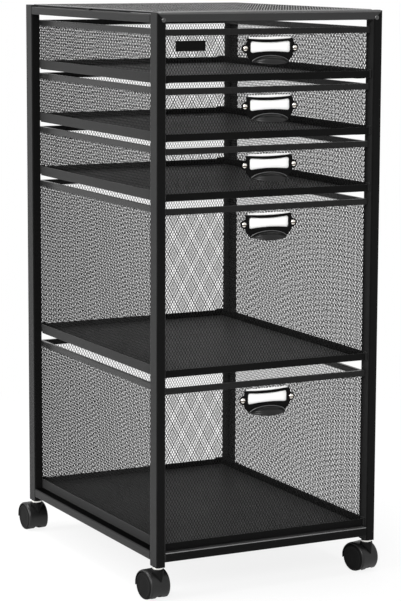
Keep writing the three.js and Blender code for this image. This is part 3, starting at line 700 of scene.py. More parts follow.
def grown(name, tree, values):
    """Evaluates a geometry tree once and returns its result as a plain mesh."""
    carrier = bpy.data.objects.new(name + "_carrier", bpy.data.meshes.new(name + "_carrier"))
    scene.collection.objects.link(carrier)
    modifier = carrier.modifiers.new("tree", "NODES")
    modifier.node_group = tree
    for socket in tree.interface.items_tree:
        if socket.in_out == "INPUT":
            modifier[socket.identifier] = values[socket.name]
    graph = bpy.context.evaluated_depsgraph_get()
    mesh = bpy.data.meshes.new_from_object(carrier.evaluated_get(graph), depsgraph=graph)
    bpy.data.objects.remove(carrier)
    mesh.name = name
    return mesh


def close_border(mesh, depth):
    """Joins the front and rear edges along a lattice's border, so that its strands end closed."""
    work = bmesh.new()
    work.from_mesh(mesh)
    bmesh.ops.remove_doubles(work, verts=work.verts, dist=STRAND_WELD)
    border = [edge for edge in work.edges if edge.is_boundary]
    middles = [(edge.verts[0].co + edge.verts[1].co) / 2 for edge in border]
    near = kdtree.KDTree(len(border))
    for index, middle in enumerate(middles):
        near.insert(middle, index)
    near.balance()
    pairs = []
    for index, middle in enumerate(middles):
        found = near.find_range(middle, PAIR_FARTHEST * depth)
        others = [other for _, other, gap in found if gap > PAIR_NEAREST * depth]
        if len(others) == 1 and index < others[0]:
            pairs.append((border[index], border[others[0]]))
    for edge, other in pairs:
        loop = edge.link_loops[0]
        first, second = loop.vert, loop.link_loop_next.vert
        third, fourth = sorted(other.verts, key=lambda vert: (vert.co - first.co).length)
        work.faces.new((second, first, third, fourth))
    work.to_mesh(mesh)
    work.free()


lattice = {"Cell": cell, "Pitch": MESH_PITCH, "Row": MESH_ROW}
print("lattice with a pitch of", round(MESH_PITCH / MM, 2), "mm")

# %% Drawer walls
MESH_CORNER = 1.5 * MM
TALLEST_WALL = 0.1  # walls taller than this are made in two parts, to keep each mesh handy
DRAWERS = range(1, 6)

for number in DRAWERS:
    node = f"drawer_{number}_mesh"
    low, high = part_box(node)
    parts = 2 if high.z - low.z > TALLEST_WALL else 1
    for part in range(parts):
        mesh = grown(f"expanded_{node}_{part + 1}", sleeve, {
            **lattice, "Material": finishes["drawer_mesh"], "Corner": MESH_CORNER,
            "Width": high.x - low.x - STRAND_DEPTH, "Depth": high.y - low.y - STRAND_DEPTH,
            "Low": low.z, "High": high.z, "Parts": parts, "Part": part,
        })
        close_border(mesh, STRAND_DEPTH)
        mesh.transform(Matrix.Translation(((low.x + high.x) / 2, (low.y + high.y) / 2, 0)))
        piece(mesh.name, mesh, "drawer_mesh", BODY_OF[node], [node])
        print(mesh.name, len(mesh.polygons), "faces")

# %% [markdown]
# ## The top
# The top is a flat expanded mesh in a rolled hem. Under the hem runs a folded flange, set back so
# far that it lies in the hem's shade, and two small clips hold the panel to the side rails. Hem
# and flange are rings with rounded edges, and the clips are rounded blocks, so two helpers build
# them corner by corner. Seen at a low angle the mesh looks much lighter than the drawers, since
# its flat strands mirror the light above.

# %% Rings and blocks with soft edges
SMOOTH_ANGLE = math.radians(35)
RING_SEGMENTS = 3


def soft_ring(name, low, high, width, rounding):
    """A rectangular ring with rounded edges, lying flat."""
    work = bmesh.new()
    outer = [(low.x, low.y), (high.x, low.y), (high.x, high.y), (low.x, high.y)]
    inner = [
        (low.x + width, low.y + width), (high.x - width, low.y + width),
        (high.x - width, high.y - width), (low.x + width, high.y - width),
    ]
    rings = [[work.verts.new((x, y, z)) for x, y in ring] for ring, z in (
        (outer, low.z), (outer, high.z), (inner, high.z), (inner, low.z),
    )]
    for k in range(4):
        for i in range(4):
            j = (i + 1) % 4
            work.faces.new((rings[k][i], rings[k][j], rings[(k + 1) % 4][j], rings[(k + 1) % 4][i]))
    bmesh.ops.recalc_face_normals(work, faces=work.faces)
    round_edges(work, rounding, RING_SEGMENTS)
    return made_mesh(name, work)


def soft_block(name, low, high, rounding, segments=2):
    work = bmesh.new()
    bmesh.ops.create_cube(work, size=1)
    for corner in work.verts:
        corner.co = [high[k] if corner.co[k] > 0 else low[k] for k in range(3)]
    bmesh.ops.recalc_face_normals(work, faces=work.faces)
    round_edges(work, rounding, segments)
    return made_mesh(name, work)


def joined(name, meshes, place=Matrix.Identity(4)):
    """Several meshes as one, moved into place; smooth except at sharp bends."""
    work = bmesh.new()
    for mesh in meshes:
        work.from_mesh(mesh)
    work.transform(place)
    for face in work.faces:
        face.smooth = True
    whole = bpy.data.meshes.new(name)
    work.to_mesh(whole)
    work.free()
    whole.set_sharp_from_angle(angle=SMOOTH_ANGLE)
    return whole


print("shading is smooth up to", round(math.degrees(SMOOTH_ANGLE)), "degrees")

# %% Hem and flange
TOP_SHEET = 1.5 * MM
HEM_WIDTH = 3 * MM
HEM_ROUND = 0.7 * MM
FLANGE_INSET = 4 * MM
FLANGE_WIDTH = 3 * MM
FLANGE_LAP = 0.2 * MM  # up into the hem
FLANGE_ROUND = 0.2 * MM

top_low, top_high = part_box("top_panel")
sheet_foot = top_high.z - TOP_SHEET
hem = soft_ring("top_hem", Vector((top_low.x, top_low.y, sheet_foot)), top_high, HEM_WIDTH, HEM_ROUND)
# The hem takes the lip's coat, whose lighter colour paints a highlight along it.
piece("top_hem", hem, "lip_coat", "frame", ["top_panel"])
setback = Vector((FLANGE_INSET, FLANGE_INSET, 0))
flange_high = Vector((top_high.x, top_high.y, sheet_foot + FLANGE_LAP)) - setback
flange = soft_ring("top_flange", top_low + setback, flange_high, FLANGE_WIDTH, FLANGE_ROUND)
piece("top_flange", flange, "frame_coat", "frame", ["top_panel"])
print("hem of", len(hem.polygons), "faces and flange of", len(flange.polygons))

# %% Mesh of the top
inside = Vector((top_high.x - top_low.x - HEM_WIDTH, top_high.y - top_low.y - HEM_WIDTH))
columns = round(inside.x / MESH_PITCH - 0.5)
rows = round((inside.y / MESH_ROW - 1) / 2)
pitch, row = inside.x / (columns + 0.5), inside.y / (2 * rows + 1)
mesh = grown("top_lattice", sheet, {
    **lattice, "Cell": top_cell, "Material": finishes["top_mesh"],
    "Columns": columns, "Rows": rows, "Step": pitch, "Rise": row,
    "Left": (top_low.x + top_high.x - inside.x + pitch) / 2,
    "Low": (top_low.y + top_high.y - inside.y) / 2,
})
close_border(mesh, TOP_STRAND_DEPTH)
mesh.transform(Matrix.Translation((0, 0, top_high.z - TOP_STRAND_DEPTH)))
piece("top_lattice", mesh, "top_mesh", "frame", ["top_panel"])
print("top mesh", len(mesh.polygons), "faces")

# %% Clips
CLIP_WIDTH, CLIP_LENGTH = 5 * MM, 6 * MM
CLIP_SETBACK = 1 * MM  # from the rail's outer face
CLIP_ROUND = 0.3 * MM

clips = []
for side in ("left", "right"):
    rail_low, rail_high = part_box(f"top_rail_{side}")
    middle = (rail_low.y + rail_high.y) / 2
    inward = 1 if side == "left" else -1
    start = (rail_low.x if side == "left" else rail_high.x) + inward * CLIP_SETBACK
    near, far = sorted((start, start + inward * CLIP_WIDTH))
    clip_low = (near, middle - CLIP_LENGTH / 2, rail_high.z)
    clip_high = (far, middle + CLIP_LENGTH / 2, sheet_foot)
    clips.append(soft_block("clip", clip_low, clip_high, CLIP_ROUND))
piece("panel_clips", joined("panel_clips", clips), "frame_coat", "frame")
print(len(clips), "clips")

# %% [markdown]
# ## Label pulls
# Each pull is one pressing: a frame that holds a card, an ear with a rivet on each side, and a
# cup below for the fingers. It is made as three pieces, because its finish changes: the frame is
# dull, the cup is lighter and more reflective, and a light bead where they meet paints a highlight
# there; the cup's lighter colour is painted light too. The frame is easiest as a filled curve,
# because a curve with a hole can be given thickness and rounded edges at once. The cup is a
# quarter of an ellipsoid, swept over two angles and closed into a shell, with a rolled bead along its lip.

# %% Sizes of a pull, from the middle of the line through its rivets
PULL_SHEET = 1.4 * MM
PULL_HALF_WIDTH = 32 * MM
PULL_TOP = 12 * MM
PULL_TOP_DIP = 1.4 * MM
CORNER_ACROSS, CORNER_DOWN = 1.5 * MM, 2 * MM
EAR_REACH = 7 * MM
EAR_HALF_HEIGHT = 5.5 * MM
EAR_ROOT, EAR_FALL = 3 * MM, 0.6 * MM
EAR_FOOT = 1 * MM
WINDOW_HALF_WIDTH = 28 * MM
WINDOW_LIFT = 1.6 * MM
WINDOW_HALF_HEIGHT = 7.6 * MM
WINDOW_WAIST = 1.4 * MM
WINDOW_CORNER = 3.8 * MM
CUP_HALF_WIDTH = 26 * MM
CUP_REACH = 12.5 * MM
CUP_RISE = 9.5 * MM
CUP_LIP = -18.5 * MM
CUP_LIP_BOW = 3 * MM
CUP_SHEET = 1.4 * MM
PLATE_SHOULDER = -9 * MM
PLATE_FOOT = Vector((0.5, 0.4)) * MM  # outwards and up from the end of the lip
print("pull of", round(2 * (PULL_HALF_WIDTH + EAR_REACH) / MM), "mm")

# %% Outlines of the frame and its window
CURVE_STEPS = 16
TURN_STEPS, BEND_STEPS, EAR_STEPS = 5, 6, 10


def bow(start, control, end, steps):
    """Points along a curve that leaves start towards control and arrives at end."""
    points = []
    for i in range(1, steps + 1):
        t = i / steps
        points.append(tuple(
            (1 - t) ** 2 * a + 2 * t * (1 - t) * b + t * t * c for a, b, c in zip(start, control, end)
        ))
    return points


def lip_level(x):
    """Height of the cup's lower edge, which rises towards its ends."""
    return CUP_LIP + CUP_LIP_BOW * (x / CUP_HALF_WIDTH) ** 2


def lip_start(half_width, rise):
    """The angle along an arch of this size at which it crosses the lower edge."""
    bow_here = CUP_LIP_BOW * (half_width / CUP_HALF_WIDTH) ** 2
    return math.asin((math.sqrt(rise ** 2 + 4 * bow_here ** 2) - rise) / (2 * bow_here))


def mirrored(points):
    return [(-x, y) for x, y in reversed(points)]


def plate_outline():
    wide, tall, ear = PULL_HALF_WIDTH, EAR_HALF_HEIGHT, PULL_HALF_WIDTH + EAR_REACH
    lip_end = (CUP_HALF_WIDTH, lip_level(CUP_HALF_WIDTH))
    side = [(wide - CORNER_ACROSS, PULL_TOP)]
    side += bow(side[-1], (wide, PULL_TOP), (wide, PULL_TOP - CORNER_DOWN), TURN_STEPS)
    side += bow(side[-1], (wide, tall), (wide + EAR_ROOT, tall - EAR_FALL), BEND_STEPS)
    side += bow(side[-1], (ear, tall - 2 * EAR_FALL), (ear, 0), EAR_STEPS)
    side += bow(side[-1], (ear, EAR_FOOT - tall), (wide + EAR_FOOT, -tall), EAR_STEPS)
    side += bow(side[-1], (wide, -tall - EAR_FOOT), (wide, PLATE_SHOULDER), TURN_STEPS)
    side += [(lip_end[0] + PLATE_FOOT.x, lip_end[1] + PLATE_FOOT.y), lip_end]
    arch = []
    start = lip_start(CUP_HALF_WIDTH, CUP_RISE)
    for i in range(CURVE_STEPS):
        angle = start + (math.pi / 2 - start) * i / CURVE_STEPS
        arch.append((CUP_HALF_WIDTH * math.cos(angle), CUP_LIP + CUP_RISE * math.sin(angle)))
    half = side + arch
    top = bow((-side[0][0], PULL_TOP), (0, PULL_TOP - 2 * PULL_TOP_DIP), side[0], 2 * CURVE_STEPS)[:-1]
    return top + half + [(0, CUP_LIP + CUP_RISE)] + mirrored(half)


def window_outline():
    w, h, c = WINDOW_HALF_WIDTH, WINDOW_HALF_HEIGHT, WINDOW_CORNER
    waist = h - 2 * WINDOW_WAIST
    upper = [(c - w, h)] + bow((c - w, h), (0, waist), (w - c, h), 2 * CURVE_STEPS)
    corner = bow((w - c, h), (w, h), (w, h - c), BEND_STEPS)
    half = mirrored(corner) + upper + corner
    points = half + [(x, -y) for x, y in reversed(half)]
    return [(x, y + WINDOW_LIFT) for x, y in points]


print("outlines of", len(plate_outline()), "and", len(window_outline()), "points")

# %% From outlines to meshes
STAND_UP = Matrix.Rotation(math.pi / 2, 4, "X")
CURVE_WELD = 2e-6
PLATE_BEVEL_STEPS, BEAD_BEVEL_STEPS = 2, 3


def tidy_normals(mesh):
    work = bmesh.new()
    work.from_mesh(mesh)
    bmesh.ops.remove_doubles(work, verts=work.verts, dist=CURVE_WELD)
    bmesh.ops.recalc_face_normals(work, faces=work.faces)
    work.to_mesh(mesh)
    work.free()


def baked_curve(name, curve, place):
    holder = bpy.data.objects.new(name + "_curve", curve)
    scene.collection.objects.link(holder)
    graph = bpy.context.evaluated_depsgraph_get()
    mesh = bpy.data.meshes.new_from_object(holder.evaluated_get(graph), depsgraph=graph)
    bpy.data.objects.remove(holder)
    mesh.transform(place)
    tidy_normals(mesh)
    return mesh


def add_line(curve, points, cyclic):
    spline = curve.splines.new("POLY")
    spline.points.add(len(points) - 1)
    for point, place in zip(spline.points, points):
        point.co = (*place, 1)
    spline.use_cyclic_u = cyclic


def filled(name, outlines, thickness, rounding):
    """A flat plate with holes, standing upright, with its back at y = 0."""
    curve = bpy.data.curves.new(name, "CURVE")
    curve.dimensions = "2D"
    curve.fill_mode = "BOTH"
    curve.bevel_depth = rounding
    curve.bevel_resolution = PLATE_BEVEL_STEPS
    curve.offset = -rounding
    curve.extrude = thickness / 2 - rounding
    for points in outlines:
        add_line(curve, [(x, y, 0) for x, y in points], True)
    return baked_curve(name, curve, Matrix.Translation((0, -thickness / 2, 0)) @ STAND_UP)


def beaded(name, points, radius, cyclic):
    """A round bead along a line of points in space."""
    curve = bpy.data.curves.new(name, "CURVE")
    curve.dimensions = "3D"
    curve.bevel_depth = radius
    curve.bevel_resolution = BEAD_BEVEL_STEPS
    curve.use_fill_caps = True
    add_line(curve, points, cyclic)
    return baked_curve(name, curve, Matrix.Identity(4))


print("curves are welded within", CURVE_WELD / MM, "mm")

# %% The cup and the parts of a pull
PULL_ROUNDING = 0.35 * MM
WINDOW_BEAD = 0.85 * MM
LIP_BEAD = 1.0 * MM
ARCH_BEAD = 0.6 * MM


def shell(name, outer, inner):
    """Closes two grids of points into one thin shell."""
    rows, columns = len(outer), len(outer[0])
    points = [p for row in outer for p in row] + [p for row in inner for p in row]
    base = rows * columns
    faces = []
    for i in range(rows - 1):
        for j in range(columns - 1):
            a, d = i * columns + j, (i + 1) * columns + j
            b, c = a + 1, d + 1
            faces += [(a, b, c, d), (base + d, base + c, base + b, base + a)]
    rim = [(0, j) for j in range(columns)] + [(i, columns - 1) for i in range(1, rows)]
    rim += [(rows - 1, j) for j in range(columns - 2, -1, -1)] + [(i, 0) for i in range(rows - 2, 0, -1)]
    loop = [i * columns + j for i, j in rim]
    for a, b in zip(loop, loop[1:] + loop[:1]):
        faces.append((b, a, base + a, base + b))
    mesh = bpy.data.meshes.new(name)
    mesh.from_pydata(points, [], faces)
    tidy_normals(mesh)
    return mesh


def cup_grid(shrink, steps=32, turns=10):
    a, b, c = CUP_HALF_WIDTH - shrink, CUP_REACH + PULL_SHEET - shrink, CUP_RISE - shrink
    first = lip_start(a, c)
    columns = []
    for j in range(steps + 1):
        swing = first + (math.pi - 2 * first) * j / steps
        x = a * math.cos(swing)
        lowest = math.asin(min(1.0, (lip_level(x) - CUP_LIP) / (c * math.sin(swing))))
        tilts = [lowest + (math.pi / 2 - lowest) * i / turns for i in range(turns + 1)]
        columns.append([Vector((
            x, -b * math.sin(swing) * math.cos(tilt), CUP_LIP + c * math.sin(swing) * math.sin(tilt),
        )) for tilt in tilts])
    return [list(row) for row in zip(*columns)]


def pull_parts():
    """The meshes of one pull by finish: a dull frame, a lighter, more reflective cup, and a painted highlight
    along the line where they meet.
    """
    outer, inner = cup_grid(0), cup_grid(CUP_SHEET)
    front = -PULL_SHEET
    window_line = [(x, front, z) for x, z in window_outline()]
    lip = [tuple((p + q) / 2) for p, q in zip(outer[0], inner[0])]
    arch = [(p.x, front, p.z) for p in outer[-2]]
    return {
        "pull_coat": [
            filled("plate", [plate_outline(), window_outline()], PULL_SHEET, PULL_ROUNDING),
            beaded("window_bead", window_line, WINDOW_BEAD, True),
        ],
        "pull_cup": [shell("cup", outer, inner), beaded("lip_bead", lip, LIP_BEAD, False)],
        # The arch bead's light coat is a painted highlight.
        "pull_edge": [beaded("arch_bead", arch, ARCH_BEAD, False)],
    }


print("cup reaches", round(CUP_REACH / MM, 1), "mm out")

# %% Rivets
RIVET_RADIUS = 3.3 * MM
RIVET_RISE = 1.7 * MM
RIVET_SINK = 0.6 * MM  # into the plate
RIVET_EDGE = 1.5 * MM  # left outside it on the ear
RIVET_SIDES = 20
DOME_STEPS = 6
TURN_WELD = 1e-7
FASTENER_INPUTS = [("Fastener", OBJECT), ("Material", MATERIAL), ("Count", INT), ("Spacing", FLOAT)]


def quarter_turn(steps):
    return [math.pi / 2 * i / steps for i in range(steps + 1)]


def turned(name, profile, segments, axis):
    """A closed profile of (radius, along) points, turned round the X, Y or Z axis."""
    work = bmesh.new()
    ring = []
    for k in range(segments):
        angle = 2 * math.pi * k / segments
        c, s = math.cos(angle), math.sin(angle)
        if axis == "X":
            ring.append([work.verts.new((along, r * c, r * s)) for r, along in profile])
        elif axis == "Y":
            ring.append([work.verts.new((r * c, along, r * s)) for r, along in profile])
        else:
            ring.append([work.verts.new((r * c, r * s, along)) for r, along in profile])
    for k in range(segments):
        here, there = ring[k], ring[(k + 1) % segments]
        for i in range(len(profile) - 1):
            work.faces.new((here[i], here[i + 1], there[i + 1], there[i]))
    return made_mesh(name, work, TURN_WELD)


def rivet_shape():
    dome = [(RIVET_RADIUS * math.cos(t), -RIVET_RISE * math.sin(t)) for t in quarter_turn(DOME_STEPS)]
    profile = [(0, RIVET_SINK), (RIVET_RADIUS, RIVET_SINK)] + dome[:-1] + [(0, -RIVET_RISE)]
    return bpy.data.objects.new("dome_rivet", turned("dome_rivet", profile, RIVET_SIDES, "Y"))


def fastener_tree():
    tree, given, result = new_tree("fastener_row", "GeometryNodeTree", FASTENER_INPUTS, [("Geometry", GEOMETRY)])
    gap = add(tree, "ShaderNodeCombineXYZ", {"X": given["Spacing"]}).outputs[0]
    line = add(tree, "GeometryNodeMeshLine", {"Count": given["Count"], "Offset": gap}).outputs[0]
    shape = add(tree, "GeometryNodeObjectInfo", {"Object": given["Fastener"]}).outputs["Geometry"]
    placed = add(tree, "GeometryNodeInstanceOnPoints", {"Points": line, "Instance": shape}).outputs[0]
    whole = add(tree, "GeometryNodeRealizeInstances", {"Geometry": placed}).outputs[0]
    close_tree(tree, result, whole, given["Material"])
    return tree


rivet = rivet_shape()
fasteners = fastener_tree()
rivet_spacing = 2 * (PULL_HALF_WIDTH + EAR_REACH - RIVET_RADIUS - RIVET_EDGE)
print("rivets", round(rivet_spacing / MM, 1), "mm apart")

# %% Set the pulls on the drawers
CARD_SHEET = 0.15 * MM
CARD_ROUND = 0.05 * MM
CARD_SETBACK = 0.22 * MM  # behind the pull's back, in the mesh
CARD_SIDE = 1.0 * MM  # card behind the frame, left and right
CARD_TOP = 13.4 * MM  # the card stands out above the plate

for number in DRAWERS:
    node, body = f"drawer_{number}_pull", f"drawer_{number}"
    low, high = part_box(node)
    place = Matrix.Translation(((low.x + high.x) / 2, high.y, low.z - CUP_LIP))
    for finish, meshes in pull_parts().items():
        name = f"{finish}_{number}"
        piece(name, joined(name, meshes, place), finish, body, [node])

    w, foot = WINDOW_HALF_WIDTH + CARD_SIDE, WINDOW_LIFT - WINDOW_HALF_HEIGHT - CARD_SIDE
    card_outline = [(-w, foot), (w, foot), (w, CARD_TOP), (-w, CARD_TOP)]
    card_place = Matrix.Translation((0, CARD_SETBACK, 0)) @ place
    card = joined(f"card_{number}", [filled("card", [card_outline], CARD_SHEET, CARD_ROUND)], card_place)
    piece(f"card_{number}", card, "card_paper", body)

    rivets = grown(f"rivets_{number}", fasteners, {
        "Fastener": rivet, "Material": finishes["rivet_nickel"], "Count": 2, "Spacing": rivet_spacing,
    })
    rivets.transform(place @ Matrix.Translation((-rivet_spacing / 2, -PULL_SHEET, 0)))
    piece(f"rivets_{number}", rivets, "rivet_nickel", body)
print("pulls, cards and rivets on", len(DRAWERS), "drawers")

# %% [markdown]
# ## Small fittings
# A domed screw sits beside each mitred corner of the front frame, and a thin folded lip runs
# along the top of the front rail, in a glossy coat whose lighter colour paints a highlight on it.
# Below, a bead in the pulls' light coat paints a highlight along the upper edge of the bottom
# front rail, and a thin dull black strip on the top of each bottom side rail paints the shade
# that lies there. The top drawer carries a small blank plate near its left end. The screws reuse
# the tree of the rivets; the rest are rounded blocks and one filled curve, since a bump in a
# finish would leave no edge to catch the light.

# %% Corner screws
SCREW_INSET = 8.6 * MM  # from the post's outer face
SCREW_DROP = 8.8 * MM  # below the post's top
SCREW_SCALE = 0.95  # of a rivet

left_low, left_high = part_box("post_front_left")
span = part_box("post_front_right")[1].x - left_low.x - 2 * SCREW_INSET
screws = grown("corner_screws", fasteners, {
    "Fastener": rivet, "Material": finishes["screw_coat"], "Count": 2, "Spacing": span / SCREW_SCALE,
})
screw_spot = Vector((left_low.x + SCREW_INSET, left_low.y, left_high.z - SCREW_DROP))
screws.transform(Matrix.Translation(screw_spot) @ Matrix.Scale(SCREW_SCALE, 4))
piece("corner_screws", screws, "screw_coat", "frame")
print("screws", round(span / MM, 1), "mm apart")

# %% Lip, strips of painted shade and painted highlight on the rails
LIP_HEIGHT, LIP_DEEP, LIP_PROUD = 2.6 * MM, 9 * MM, 0.8 * MM
LIP_END, LIP_ROUND, LIP_SEGMENTS = 2 * MM, 1.5 * MM, 4
STRIP_INSET, STRIP_THICK = 0.9 * MM, 0.25 * MM
STRIP_SINK, STRIP_ROUND = 0.1 * MM, 0.1 * MM
PAINTED_HIGHLIGHT_SIZE, PAINTED_HIGHLIGHT_PROUD = 1.3 * MM, 0.1 * MM
PAINTED_HIGHLIGHT_ROUND, PAINTED_HIGHLIGHT_SEGMENTS = 0.6 * MM, 3

rail_low, rail_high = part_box("top_rail_front")
lip_low = (rail_low.x + LIP_END, rail_low.y - LIP_PROUD, rail_high.z - LIP_HEIGHT)
lip_high = (rail_high.x - LIP_END, rail_low.y + LIP_DEEP, rail_high.z + LIP_PROUD)
lip_block = soft_block("front_lip", lip_low, lip_high, LIP_ROUND, LIP_SEGMENTS)
# The lip's lighter coat paints a highlight along the top of the front rail.
piece("front_lip", joined("front_lip", [lip_block]), "lip_coat", "frame")

# Painted shade: a thin dull black strip on the top of each bottom side rail, where the rail lies in shade under
# the lowest drawer.
for side in ("left", "right"):
    rail_low, rail_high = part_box(f"bottom_rail_{side}")
    if side == "left":
        near, far = rail_low.x + STRIP_INSET, rail_high.x
    else:
        near, far = rail_low.x, rail_high.x - STRIP_INSET
    strip_low = (near, rail_low.y, rail_high.z - STRIP_SINK)
    strip_high = (far, rail_high.y, rail_high.z + STRIP_THICK)
    strip = joined(f"rail_strip_{side}", [soft_block("strip", strip_low, strip_high, STRIP_ROUND)])
    piece(strip.name, strip, "strip_black", "frame")

# Painted highlight: a light, glossy bead along the upper front edge of the bottom front rail.
rail_low, rail_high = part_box("bottom_rail_front")
edge_low = (rail_low.x, rail_low.y - PAINTED_HIGHLIGHT_PROUD, rail_high.z - PAINTED_HIGHLIGHT_SIZE)
edge_high = (rail_high.x, rail_low.y + PAINTED_HIGHLIGHT_SIZE, rail_high.z + PAINTED_HIGHLIGHT_PROUD)
edge_block = soft_block("foot_edge", edge_low, edge_high, PAINTED_HIGHLIGHT_ROUND, PAINTED_HIGHLIGHT_SEGMENTS)
piece("foot_edge", joined("foot_edge", [edge_block]), "pull_edge", "frame")
# The printed worn edge is the painted highlight, and the two strips are painted shade.
print("a lip, two strips and a worn edge")

# %% Blank plate
PLATE_WIDTH, PLATE_HEIGHT = 40 * MM, 12.5 * MM
PLATE_SHEET = 1.0 * MM
PLATE_CORNER = 1.2 * MM
PLATE_ROUND = 0.3 * MM
PLATE_GAP = 0.1 * MM  # in front of the mesh
PLATE_LEFT = 13.5 * MM  # from the drawer's left edge
PLATE_DROP = 19.8 * MM  # plate's middle below the rim

rim_low, rim_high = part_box("drawer_1_rim")
mesh_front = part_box("drawer_1_mesh")[0].y
w, h, c = PLATE_WIDTH / 2, PLATE_HEIGHT / 2, PLATE_CORNER
plate_shape = []
for sx, sy in ((1, 1), (-1, 1), (-1, -1), (1, -1)):
    bend = bow((sx * w, sy * (h - c)), (sx * w, sy * h), (sx * (w - c), sy * h), TURN_STEPS)
    plate_shape += bend if sx * sy > 0 else bend[::-1]
plate_spot = Vector((rim_low.x + PLATE_LEFT + w, mesh_front - PLATE_GAP, rim_high.z - PLATE_DROP))
plate = filled("blank_plate", [plate_shape], PLATE_SHEET, PLATE_ROUND)
blank = joined("blank_plate", [plate], Matrix.Translation(plate_spot))
piece("blank_plate", blank, "pull_coat", "drawer_1")
print("plate of", len(blank.polygons), "faces")

# %% [markdown]
# ## Casters
# A hooded twin-wheel caster is two hard wheels on one axle, either side of a thin web, under a
# moulded hood. The hood is swept round the axle: its outer radius drops at both sides for a
# rounded shoulder, and its front edge ends in an arch between the wheels. A round neck stands on
# it, and where the two meet the seam draws a V. The neck is a piece of its own in the wheels'
# duller finish, whose darker colour paints shade on the neck against the hood. A bright zinc
# collar shows between neck and post. Hood and neck follow plain rules over two angles, so they
# are built point by point; wheels and collar are turned.

# %% Sizes of a caster, round its stem with the floor at zero
WHEEL_RADIUS = 17.5 * MM
CASTER_TRAIL = 11 * MM
HOOD_INNER = 18.5 * MM
HOOD_WALL = 1.6 * MM
HOOD_EDGE = 0.25 * MM  # thinnest wall
HOOD_HALF_WIDTH = 14 * MM
HOOD_SHOULDER = 3.2 * MM
HOOD_SHOULDER_DROP = 1.8 * MM
HOOD_FROM, HOOD_TO = math.radians(-8), math.radians(224)
HOOD_TAIL = math.radians(24)  # the rear end thins out over this angle
TAIL_THINNING, TAIL_LIMIT = 1.1 * MM, 0.2 * MM
ARCH_RADIUS, ARCH_LEVEL = 6 * MM, 1 * MM
CORNER_ROUND, CORNER_LIFT = 3.5 * MM, 3 * MM
AXLE_AT = Vector((0, CASTER_TRAIL, WHEEL_RADIUS))
print("axle", round(CASTER_TRAIL / MM), "mm behind the stem")

# %% Hood and web
WEB_HALF = 2 * MM
WEB_FOOT = 6.5 * MM  # below the axle
WEB_LAP = 0.3 * MM  # into the hood
WEB_STEPS = 32


def rounded_off(past, width, drop):
    """How far a quarter ellipse has dropped, a way past its beginning."""
    return drop * (1 - math.sqrt(max(0.0, 1 - (past / width) ** 2))) if past > 0 else 0.0


def hood_radius(x, angle):
    radius = HOOD_INNER + HOOD_WALL
    radius -= rounded_off(abs(x) - (HOOD_HALF_WIDTH - HOOD_SHOULDER), HOOD_SHOULDER, HOOD_SHOULDER_DROP)
    thin = max(0.0, HOOD_FROM + HOOD_TAIL - angle) / HOOD_TAIL
    return max(radius - TAIL_THINNING * thin * thin, HOOD_INNER - TAIL_LIMIT)


def hood_end(x):
    """The angle at which the hood's front edge ends: arched in the middle, rounded at the sides."""
    radius = HOOD_INNER + HOOD_WALL
    level = WHEEL_RADIUS + radius * math.sin(HOOD_TO)
    if abs(x) < ARCH_RADIUS:
        level = max(level, ARCH_LEVEL + math.sqrt(ARCH_RADIUS ** 2 - x * x))
    level += rounded_off(abs(x) - (HOOD_HALF_WIDTH - CORNER_ROUND), CORNER_ROUND, CORNER_LIFT)
    return math.pi + math.asin((WHEEL_RADIUS - level) / radius)


def round_axle(x, angle, radius):
    return Vector((x, radius * math.cos(angle), radius * math.sin(angle))) + AXLE_AT


def hood_shell(steps=56, across=48):
    outer, inner = [], []
    xs = [HOOD_HALF_WIDTH * math.sin(math.pi / 2 * (2 * j / across - 1)) for j in range(across + 1)]
    for i in range(steps + 1):
        angles = [HOOD_FROM + (hood_end(x) - HOOD_FROM) * i / steps for x in xs]
        radii = [hood_radius(x, angle) for x, angle in zip(xs, angles)]
        hollow = [min(HOOD_INNER, radius - HOOD_EDGE) for radius in radii]
        outer.append([round_axle(*spot) for spot in zip(xs, angles, radii)])
        inner.append([round_axle(*spot) for spot in zip(xs, angles, hollow)])
    return shell("hood", outer, inner)


def web_plate():
    outline = [(CASTER_TRAIL, WHEEL_RADIUS - WEB_FOOT)]
    end = hood_end(0)
    for i in range(WEB_STEPS + 1):
        angle = HOOD_FROM + (end - HOOD_FROM) * i / WEB_STEPS
        spot = round_axle(0, angle, HOOD_INNER + WEB_LAP)
        outline.append((spot.y, spot.z))
    work = bmesh.new()
    sides = [[work.verts.new((x, y, z)) for y, z in outline] for x in (-WEB_HALF, WEB_HALF)]
    work.faces.new(sides[0])
    work.faces.new(sides[1])
    for i in range(len(outline)):
        j = (i + 1) % len(outline)
        work.faces.new((sides[0][i], sides[0][j], sides[1][j], sides[1][i]))
    return made_mesh("web", work)


print("hood ends at", round(math.degrees(hood_end(0))), "degrees in the middle")

# %% Neck and collar
COLLAR_RADIUS = 6.5 * MM
COLLAR_PLAY = 0.3 * MM  # under the post
COLLAR_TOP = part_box("post_front_left")[0].z - COLLAR_PLAY
COLLAR_FOOT = ((0, -1.0), (0, 0.4), (0.4, 0.7))  # outwards and above the neck, in mm
COLLAR_CROWN = ((0.4, 0.8), (0, 0.3), (-0.4, 0))  # outwards and below the collar's top, in mm
COLLAR_SIDES = 40
STEM_RADIUS = 3 * MM
STEM_CHAMFER = 0.8 * MM
STEM_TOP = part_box("caster_front_left_hood")[1].z
NECK_RADIUS = 8 * MM
NECK_TOP = COLLAR_TOP - 2.8 * MM
NECK_POINT = Vector((0, -9 * MM, 24 * MM))
NECK_SHOULDER = 36 * MM
NECK_CROWN = ((1.0, 1.4), (0.96, 0.5), (0.88, 0), (0.0, 0))  # share of the radius, mm below the top


